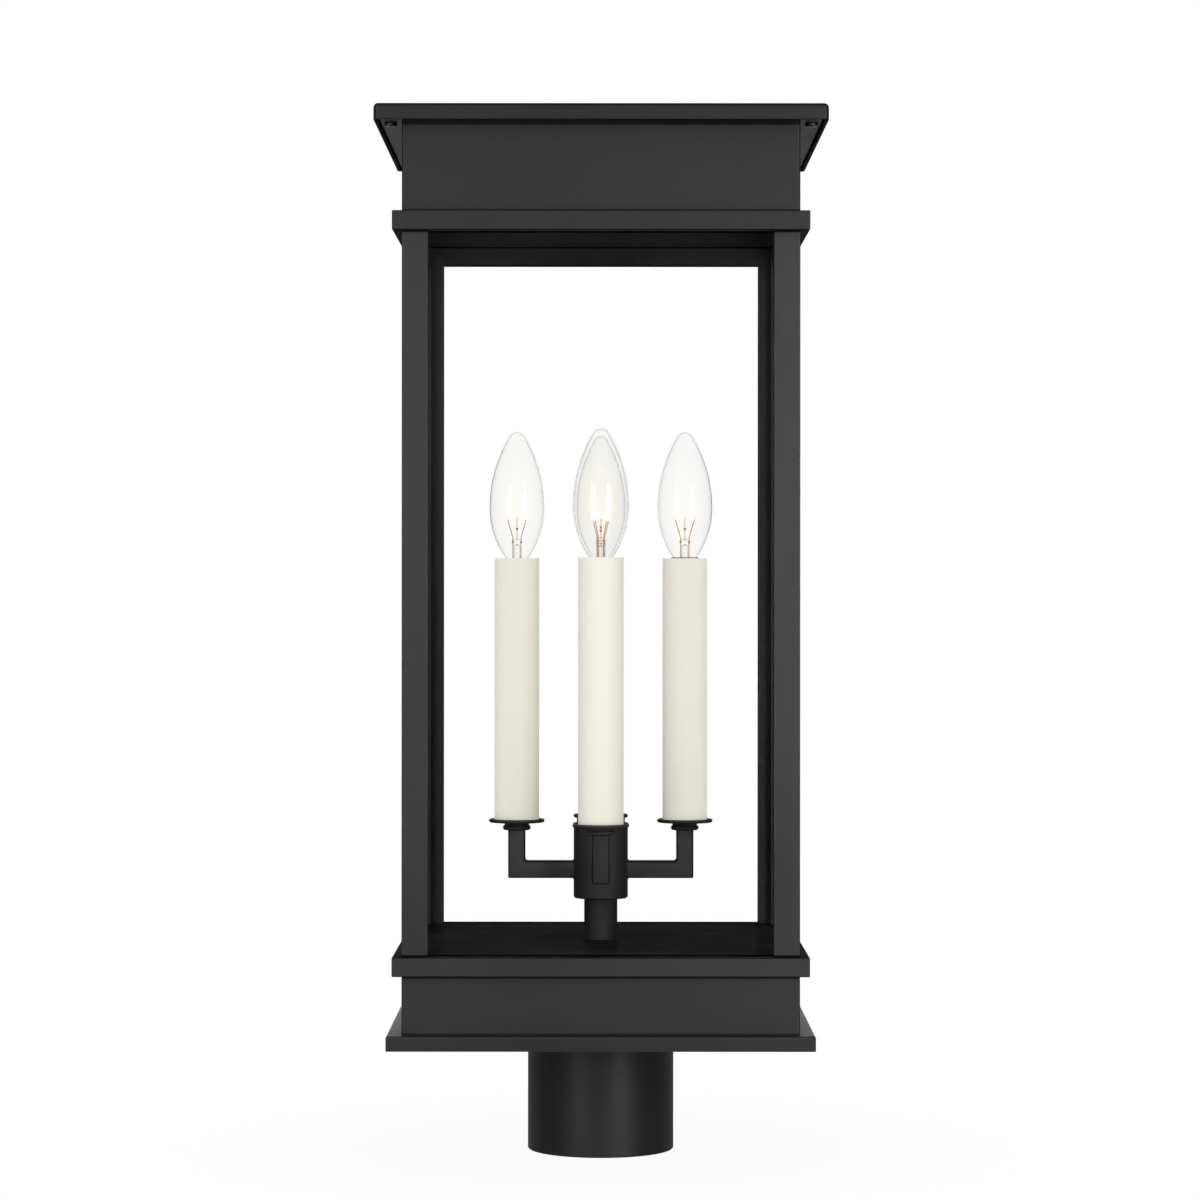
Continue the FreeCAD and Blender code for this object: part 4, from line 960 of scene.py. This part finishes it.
def drip_disc(sizes):
    """The dish under a sleeve, with its rim rolled over, drawn on the Z axis at height 0."""
    rim = sizes.rim_radius
    edge = (DISC_HIGH.y - DISC_LOW.y) / 2 - rim
    floor = SLEEVE_LOW.z - DISC_LOW.z
    hole = NIPPLE_RADIUS + 0.25 * MM
    outline = [(hole, 0)]
    outline += arc_points(edge, rim, rim, -QUARTER, math.radians(165), count=14)
    outline += [(edge - rim * 1.15, floor + 0.12 * MM), (SLEEVE_RADIUS + 0.4 * MM, floor),
                (hole, floor), (hole, 0)]
    return turned_piece("drip_disc", outline, steps=72)


def seat_collar(sizes):
    """The collar on an arm's end: a round bead below a plain neck, threaded inside."""
    bead = sizes.bead_radius
    radius = SEAT_HIGH.x - CANDLE_REACH
    neck = radius - 0.9 * MM
    height = SEAT_HIGH.z - SEAT_LOW.z
    web = NIPPLE_LOW.z - SEAT_LOW.z
    outline = [(sizes.wire_way, 0)]
    outline += arc_points(radius - bead, bead, bead, -QUARTER, QUARTER - 0.3, count=10)
    outline += [(neck, bead * 2 + 0.1 * MM), (neck, height)]
    outline += thread_wave(NIPPLE_RADIUS + 0.3 * MM, NIPPLE_RADIUS, web, height, 1.0 * MM)[::-1]
    outline += [(NIPPLE_RADIUS, web), (sizes.wire_way, web), (sizes.wire_way, 0)]
    return turned_piece("seat_collars", outline, steps=48)


def candle_arm(sizes):
    """A square bar from the hub that turns up at a tight elbow, drawn towards +X."""
    root, end, low = ARM_LOW.x, ARM_HIGH.x, ARM_LOW.z
    bend, corner = sizes.elbow_radius, sizes.arm_edge
    high = ARM_HIGH.z + corner
    inner = end - ARM_BAR
    outline = [(root, low)]
    outline += arc_points(end - corner, low + corner, corner, -QUARTER, 0, count=5)
    outline += [(end, high), (inner, high)]
    outline += arc_points(inner - bend, low + ARM_BAR + bend, bend, 0, -QUARTER, count=6)
    outline += [(root, low + ARM_BAR)]
    arm = drawn_out("arm", [(x, -ARM_BAR / 2, z) for x, z in outline], (0, ARM_BAR, 0))
    bevelled(arm, corner)
    return arm


def weld_bead(sizes):
    """The weld round an arm where it enters the hub, following the hub's curve."""
    hub = HUB_HIGH.x - 0.4 * MM
    half = ARM_BAR / 2
    inset = half - sizes.arm_edge
    ring = []
    for i, (sy, sz) in enumerate(((1, 1), (-1, 1), (-1, -1), (1, -1))):
        ring += arc_points(sy * inset, sz * inset, sizes.arm_edge, QUARTER * i,
                           QUARTER * (i + 1), count=4)
        if i % 2 == 0:
            ring += [(sy * half * share, sz * half) for share in (0.4, 0, -0.4)]
    middle = ARM_LOW.z + half
    points = [(math.sqrt(hub ** 2 - y ** 2) - 0.1 * MM, y, middle + z) for y, z in ring]
    return wire_piece("weld_bead", points, sizes.weld_radius, sides=3, closed=True)


class LANTERN_OT_arms(bpy.types.Operator):
    """Makes the four arms with their welds, seat collars and drip discs"""
    bl_idname = "lantern.arms"
    bl_label = "Candle arms"

    def execute(self, context):
        sizes = context.scene.lantern_metal
        disc, arm, weld = drip_disc(sizes), candle_arm(sizes), weld_bead(sizes)
        for (side, degrees), place in zip(SIDES.items(), candle_places(DISC_LOW.z)):
            turn = math.radians(degrees)
            # the front arm's end faces the front, so it takes a duller, shaded copy of the arm
            # paint: painted shade
            paint = "front_arm_paint" if side == "front" else "arm_paint"
            for piece, finish, *replaced in (
                    (placed(disc, f"drip_disc_{side}_rolled", place), "disc_paint",
                     f"drip_disc_{side}"),
                    (placed(arm, f"arm_{side}_rounded", turn=turn), paint, f"arm_{side}"),
                    (placed(weld, f"weld_{side}", turn=turn), "black_paint")):
                fit_piece(piece, "root", "black_paint", finish, *replaced)
        for model in (disc, arm, weld):
            bpy.data.objects.remove(model)
        seats = at_spots(seat_collar(sizes), candle_places(SEAT_LOW.z),
                         "seat_collars_beaded")
        fit_piece(seats, "root", "black_paint", "disc_paint", "seat_collars")
        return {"FINISHED"}


# ---- Screws and threads ----

def set_screw(sizes):
    """A socket set screw along +X, its point at x = 0."""
    radius = (SET_SCREW_HIGH.x - SET_SCREW_LOW.x) / 2
    root = radius - sizes.thread_depth
    outline = [(0, 0.35 * MM), (root * 0.6, 0.35 * MM), (root * 0.8, 0), (root, 0.3 * MM)]
    outline += thread_wave(root, radius, 0.3 * MM, SET_SCREW_LENGTH - 0.2 * MM,
                           sizes.screw_pitch)
    outline += [(root, SET_SCREW_LENGTH), (0, SET_SCREW_LENGTH)]
    screw = turned_piece("set_screw", outline, steps=32)
    deselect()
    bpy.ops.mesh.primitive_cylinder_add(vertices=6, radius=radius * 0.58,
                                        depth=SET_SCREW_LENGTH * 1.1,
                                        location=(0, 0, SET_SCREW_LENGTH))
    socket = bpy.context.object
    settle(socket)
    combined(screw, socket, "DIFFERENCE")
    screw.rotation_euler.y = QUARTER
    settle(screw)
    smooth(screw, degrees=30)
    return screw


def hex_nut(flats, height, bore):
    """A nut with its corners bevelled, standing on height 0."""
    face, corner, slope = flats * 0.52, flats * 0.58, flats * 0.045
    outline = [(bore, 0), (face, 0), (corner, slope), (corner, height - slope), (face, height),
               (bore, height), (bore, 0)]
    nut = turned_piece("nut", outline, steps=48, sharp=30)
    hexagon = arc_points(0, 0, flats / math.sqrt(3), 0, math.tau, count=6)[:-1]
    blank = drawn_out("hexagon", [(x, y, -MM) for x, y in hexagon], (0, 0, height + 2 * MM))
    combined(nut, blank, "INTERSECT")
    smooth(nut, degrees=25)
    return nut


class LANTERN_OT_screws(bpy.types.Operator):
    """Makes the roof screws, the fitter's screws and nuts, and the set screws"""
    bl_idname = "lantern.screws"
    bl_label = "Screws"

    def execute(self, context):
        sizes = context.scene.lantern_metal
        # roof screws, in the soffit's four corners
        head, head_height = sizes.roof_head, 2.0 * MM
        stop = ROOF_SCREW_LOW.z + head_height
        model = pan_screw(sizes, head, head_height, shank_radius=2.0 * MM,
                          shank=ROOF_SCREW_HIGH.z - stop, edge=0.9 * MM)
        spots = corners(ROOF_SCREW_HIGH.x - head, ROOF_SCREW_HIGH.y - head, stop)
        screws = at_spots(model, spots, "roof_screws_cross")
        # the roof screws take the shinier disc paint, a lit copy of the black paint: painted light
        # on their heads
        fit_piece(screws, "root", "black_screw", "disc_paint", "roof_screws")
        # the fitter's screws, whose heads are under the flange and whose nuts are above
        head, head_height = sizes.fitter_head, 3.0 * MM
        stop = FASTENER_LOW.z + head_height
        reach = FASTENER_HIGH.x - head
        model = pan_screw(sizes, head, head_height, shank_radius=2.5 * MM,
                          shank=FASTENER_HIGH.z - stop, edge=1.4 * MM)
        screws = at_spots(model, corners(reach, reach, stop), "fitter_screws_cross")
        nut = hex_nut(flats=8.0 * MM, height=4.0 * MM, bore=2.2 * MM)
        nuts = at_spots(nut, corners(reach, reach, stop + 4.5 * MM), "fitter_nuts")
        both = joined("fitter_fasteners_cross", [screws, nuts])
        fit_piece(both, "root", "zinc_steel", "zinc_plate", "fitter_fasteners")
        # set screws, each on its own slide
        joints = {item["name"]: item for item in frame["record"]["behaviour"]["joints"]}
        model = set_screw(sizes)
        for side in ("right", "back", "left"):
            body = f"set_screw_{side}"
            inward = Vector(joints[f"{body}_travel"]["axis"])
            low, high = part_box(body)
            point = (low + high) / 2 + inward * SET_SCREW_LENGTH / 2
            piece = placed(model, f"{body}_socket", point, math.atan2(-inward.y, -inward.x))
            fit_piece(piece, body, "black_screw", "black_screw", body)
        bpy.data.objects.remove(model)
        return {"FINISHED"}


def nipple(sizes):
    """A threaded nipple."""
    bore = sizes.nipple_bore
    root = NIPPLE_RADIUS - 0.45 * MM
    height = NIPPLE_HIGH.z - NIPPLE_LOW.z
    outline = [(bore, 0), (root, 0)]
    outline += thread_wave(root, NIPPLE_RADIUS, 0.2 * MM, height - 0.2 * MM,
                           sizes.nipple_pitch)
    outline += [(root, height), (bore, height), (bore, 0)]
    return turned_piece("nipples", outline, steps=32, sharp=35)


def screw_shell(wall, pitch):
    """A socket's brass shell with its rolled thread."""
    outer = SHELL_HIGH.y - CANDLE_REACH
    height = SHELL_HIGH.z - SHELL_LOW.z
    turns = int(height / pitch)
    wave = rolled_wave(outer, outer - 0.25 * MM, 0, height / turns, turns, rows=8)
    inner = [(radius - wall, level) for radius, level in wave[::-1]]
    return turned_piece("socket_shells", wave + inner + wave[:1], steps=48, sharp=50)


def insulator():
    """The card sleeve round a socket, its top at height 0."""
    inner, outer, foot, edge = 6.75 * MM, 7.7 * MM, -3.0 * MM, 0.15 * MM
    outline = [(inner, foot), (outer, foot), (outer, -edge), (outer - edge, 0),
               (inner + edge, 0), (inner, -edge), (inner, foot)]
    return turned_piece("insulator", outline, steps=48)


class LANTERN_OT_sockets(bpy.types.Operator):
    """Makes the nipples, the screw shells and the insulators inside the candles"""
    bl_idname = "lantern.sockets"
    bl_label = "Sockets"

    def execute(self, context):
        sizes = context.scene.lantern_metal
        nipples = at_spots(nipple(sizes), candle_places(NIPPLE_LOW.z), "nipples_threaded")
        fit_piece(nipples, "root", "zinc_steel", "zinc_plate", "nipples")
        shell = screw_shell(sizes.shell_wall, context.scene.lantern_bulbs.thread_pitch)
        shells = at_spots(shell, candle_places(SHELL_LOW.z), "socket_shells_rolled")
        fit_piece(shells, "root", "brass", "brass", "socket_shells")
        model = insulator()
        for side, (x, y, top) in zip(SIDES, candle_places(SLEEVE_HIGH.z)):
            # the right one stands proud of its sleeve, the others are a little below
            proud = 0.5 * MM if side == "right" else -0.6 * MM
            piece = placed(model, f"insulator_{side}", (x, y, top + proud))
            fit_piece(piece, "root", "socket_black", "socket_black")
        bpy.data.objects.remove(model)
        return {"FINISHED"}


# ---- Carried-over pieces ----

class LANTERN_OT_metalwork(bpy.types.Operator):
    """Paints the frame, the roof, the base and the fitter"""
    bl_idname = "lantern.metalwork"
    bl_label = "Metalwork"

    def execute(self, context):
        coat_nodes("soffit_paint", "soffit_plate")
        coat_nodes("roof_paint", "roof_cap")
        coat_nodes("upper_collar_paint", "upper_collar")
        coat_nodes("lower_collar_paint", "lower_collar")
        coat_nodes("hub_paint", "hub", "hub_cap")
        coat_nodes("black_paint", "bottom_plate", "post_fitter", "glass_beads", "stem_tube")
        coat_nodes("frieze_paint", "frieze_box")
        coat_nodes("base_paint", "base_box")
        coat_nodes("corner_post_paint", "corner_post_front_right", "corner_post_back_right",
                   "corner_post_back_left", "corner_post_front_left")
        coat_nodes("floor_paint", "floor_plate")
        coat_nodes("zinc_plate", "stem_rod", "stem_washer", "stem_locknuts", "socket_brackets")
        return {"FINISHED"}


class LANTERN_OT_lights(bpy.types.Operator):
    """Finishes the sleeves, the socket bodies and their contacts"""
    bl_idname = "lantern.lights"
    bl_label = "Sleeves"

    def execute(self, context):
        coat_nodes("ivory_sleeve", *[f"sleeve_{side}" for side in SIDES])
        coat_nodes("socket_black", "socket_bodies", "wire_bush")
        coat_nodes("brass", "socket_contacts")
        return {"FINISHED"}


class LANTERN_OT_panes(bpy.types.Operator):
    """Finishes the four panes"""
    bl_idname = "lantern.panes"
    bl_label = "Panes"

    def execute(self, context):
        coat_nodes("clear_glass", *[f"pane_{side}" for side in SIDES])
        return {"FINISHED"}


# ---- Stage ----

def soft_lamp(name, power, azimuth, height, distance, size, even=False):
    """An area lamp that faces the lantern's middle. Azimuth 0 is straight in front.

    An even lamp lights all surfaces alike; another one only makes highlights on glossy ones.
    """
    angle = math.radians(azimuth)
    place = Vector((math.sin(angle) * distance, -math.cos(angle) * distance, height))
    target = Vector((0, 0, 0.30))
    deselect()
    bpy.ops.object.light_add(type="AREA", location=place)
    lamp = bpy.context.object
    lamp.name = name
    lamp.data.shape = "RECTANGLE"
    lamp.data.size, lamp.data.size_y = size
    lamp.data.energy = power
    lamp.rotation_euler = (target - place).to_track_quat("-Z", "Y").to_euler()
    lamp.visible_camera = False
    lamp.visible_diffuse = even
    lamp.visible_glossy = not even
    lamp.visible_transmission = False


def white_world(studio):
    """White behind the lantern, dimmer in front of it, and even soft light on its surfaces."""
    bpy.context.scene.world = bpy.data.worlds.new("Studio")
    tree = empty_tree(bpy.context.scene.world)
    path = node(tree, "ShaderNodeLightPath").outputs
    way = node(tree, "ShaderNodeTexCoord").outputs["Generated"]
    _, depth, rise = node(tree, "ShaderNodeSeparateXYZ", {0: way}).outputs
    backdrop = ramp(tree, depth, 0.84, 0.99, studio.side_level, 1.0, "SMOOTHSTEP")
    front = ramp(tree, depth, -0.25, -0.80, 0.0, studio.front_level, "SMOOTHSTEP")
    overhead = ramp(tree, rise, 0.55, 0.90, 0.0, studio.top_level, "SMOOTHSTEP")
    mirrored = mix(tree, path["Is Glossy Ray"], studio.ambient,
                   calc(tree, "MAXIMUM", backdrop, front, overhead), "FLOAT")
    back = node(tree, "ShaderNodeBackground",
                {"Color": rgba((1, 1, 1)),
                 "Strength": mix(tree, seen_share(tree, path), mirrored, 1.0, "FLOAT")})
    node(tree, "ShaderNodeOutputWorld", {"Surface": back.outputs[0]})


def floor_finish(mirrored):
    """White floor that keeps the lantern's soft shadow near it and fades into the backdrop.

    Mirrored is its level in the paint's soft reflections.
    """
    made = bpy.data.materials.new("Studio floor")
    tree = empty_tree(made)
    far = node(tree, "ShaderNodeVectorMath", {0: object_place(tree)},
               operation="LENGTH").outputs["Value"]
    fade = ramp(tree, far, 0.04, 0.30, 0.94, 1.0, "SMOOTHSTEP")
    path = node(tree, "ShaderNodeLightPath").outputs
    matt = node(tree, "ShaderNodeBsdfDiffuse", {"Color": rgba((0.86, 0.86, 0.86))})
    white, dim = (node(tree, "ShaderNodeEmission",
                       {"Color": rgba((1, 1, 1)), "Strength": strength})
                  for strength in (1.0, mirrored))
    mixed = mix_shaders(tree, calc(tree, "MULTIPLY", fade, seen_share(tree, path)), matt, white)
    whole = mix_shaders(tree, mirror_share(tree, path), mixed, dim)
    node(tree, "ShaderNodeOutputMaterial", {"Surface": whole.outputs[0]})
    return made


class LANTERN_OT_stage(bpy.types.Operator):
    """Sets up the camera, the lamps, the backdrop and the floor"""
    bl_idname = "lantern.stage"
    bl_label = "Stage"

    def execute(self, context):
        studio = context.scene.lantern_studio
        context.scene.view_settings.view_transform = "Standard"
        deselect()
        bpy.ops.object.camera_add(
            location=(studio.camera_offset, -studio.camera_distance, studio.camera_height),
            rotation=(QUARTER, studio.camera_roll, 0))
        camera = context.object
        camera.name = "Camera"
        camera.data.lens = studio.lens
        camera.data.sensor_width = 36.0
        camera.data.clip_start = 0.01
        camera.data.dof.use_dof = False
        context.scene.camera = camera

        for name, power, azimuth in (("Left lamp", studio.left_lamp, -32),
                                     ("Right lamp", studio.right_lamp, 31)):
            soft_lamp(name, power, azimuth, height=0.32, distance=1.0, size=(0.26, 0.50))
        soft_lamp("Front lamp", studio.front_lamp, azimuth=0, height=0.50, distance=2.2,
                  size=(1.2, 0.9), even=True)
        soft_lamp("Top lamp", studio.top_lamp, azimuth=0, height=1.6, distance=0.9,
                  size=(0.8, 0.8), even=True)
        white_world(studio)

        deselect()
        bpy.ops.mesh.primitive_circle_add(vertices=64, radius=2.5, fill_type="NGON",
                                          location=(0, 0, -0.2 * MM))
        floor = context.object
        floor.name = "floor"
        bpy.ops.object.transform_apply(location=True)
        floor.data.materials.append(floor_finish(studio.floor_level))
        return {"FINISHED"}


class LANTERN_PT_panel(bpy.types.Panel):
    """Lists the lantern's pieces in the sidebar"""
    bl_label = "Post top lantern"
    bl_idname = "LANTERN_PT_panel"
    bl_space_type = "VIEW_3D"
    bl_region_type = "UI"
    bl_category = "Lantern"

    def draw(self, context):
        column = self.layout.column()
        for operator in OPERATORS:
            column.operator(operator.bl_idname)
        for setting in SETTINGS:
            group = getattr(context.scene, setting)
            for name in group.bl_rna.properties.keys():
                if name not in ("rna_type", "name"):
                    column.prop(group, name)


OPERATORS = (LANTERN_OT_stage, LANTERN_OT_metalwork, LANTERN_OT_lights, LANTERN_OT_panes,
             LANTERN_OT_bulbs, LANTERN_OT_arms, LANTERN_OT_screws, LANTERN_OT_sockets)
SETTINGS = {"lantern_bulbs": BulbSizes, "lantern_metal": MetalSizes, "lantern_finish": Finish,
            "lantern_studio": Studio}
CLASSES = (*SETTINGS.values(), *OPERATORS, LANTERN_PT_panel)


def register():
    """Registers the classes and the scene's settings."""
    for item in CLASSES:
        bpy.utils.register_class(item)
    for name, group in SETTINGS.items():
        setattr(bpy.types.Scene, name, PointerProperty(type=group))


def unregister():
    """Removes what register made."""
    for name in SETTINGS:
        delattr(bpy.types.Scene, name)
    for item in reversed(CLASSES):
        bpy.utils.unregister_class(item)


def main():
    """Builds the lantern's looks."""
    register()
    bpy.ops.lantern.stage()
    bpy.ops.lantern.metalwork()
    bpy.ops.lantern.lights()
    bpy.ops.lantern.panes()
    bpy.ops.lantern.bulbs()
    bpy.ops.lantern.arms()
    bpy.ops.lantern.screws()
    bpy.ops.lantern.sockets()


if __name__ == "__main__":
    main()
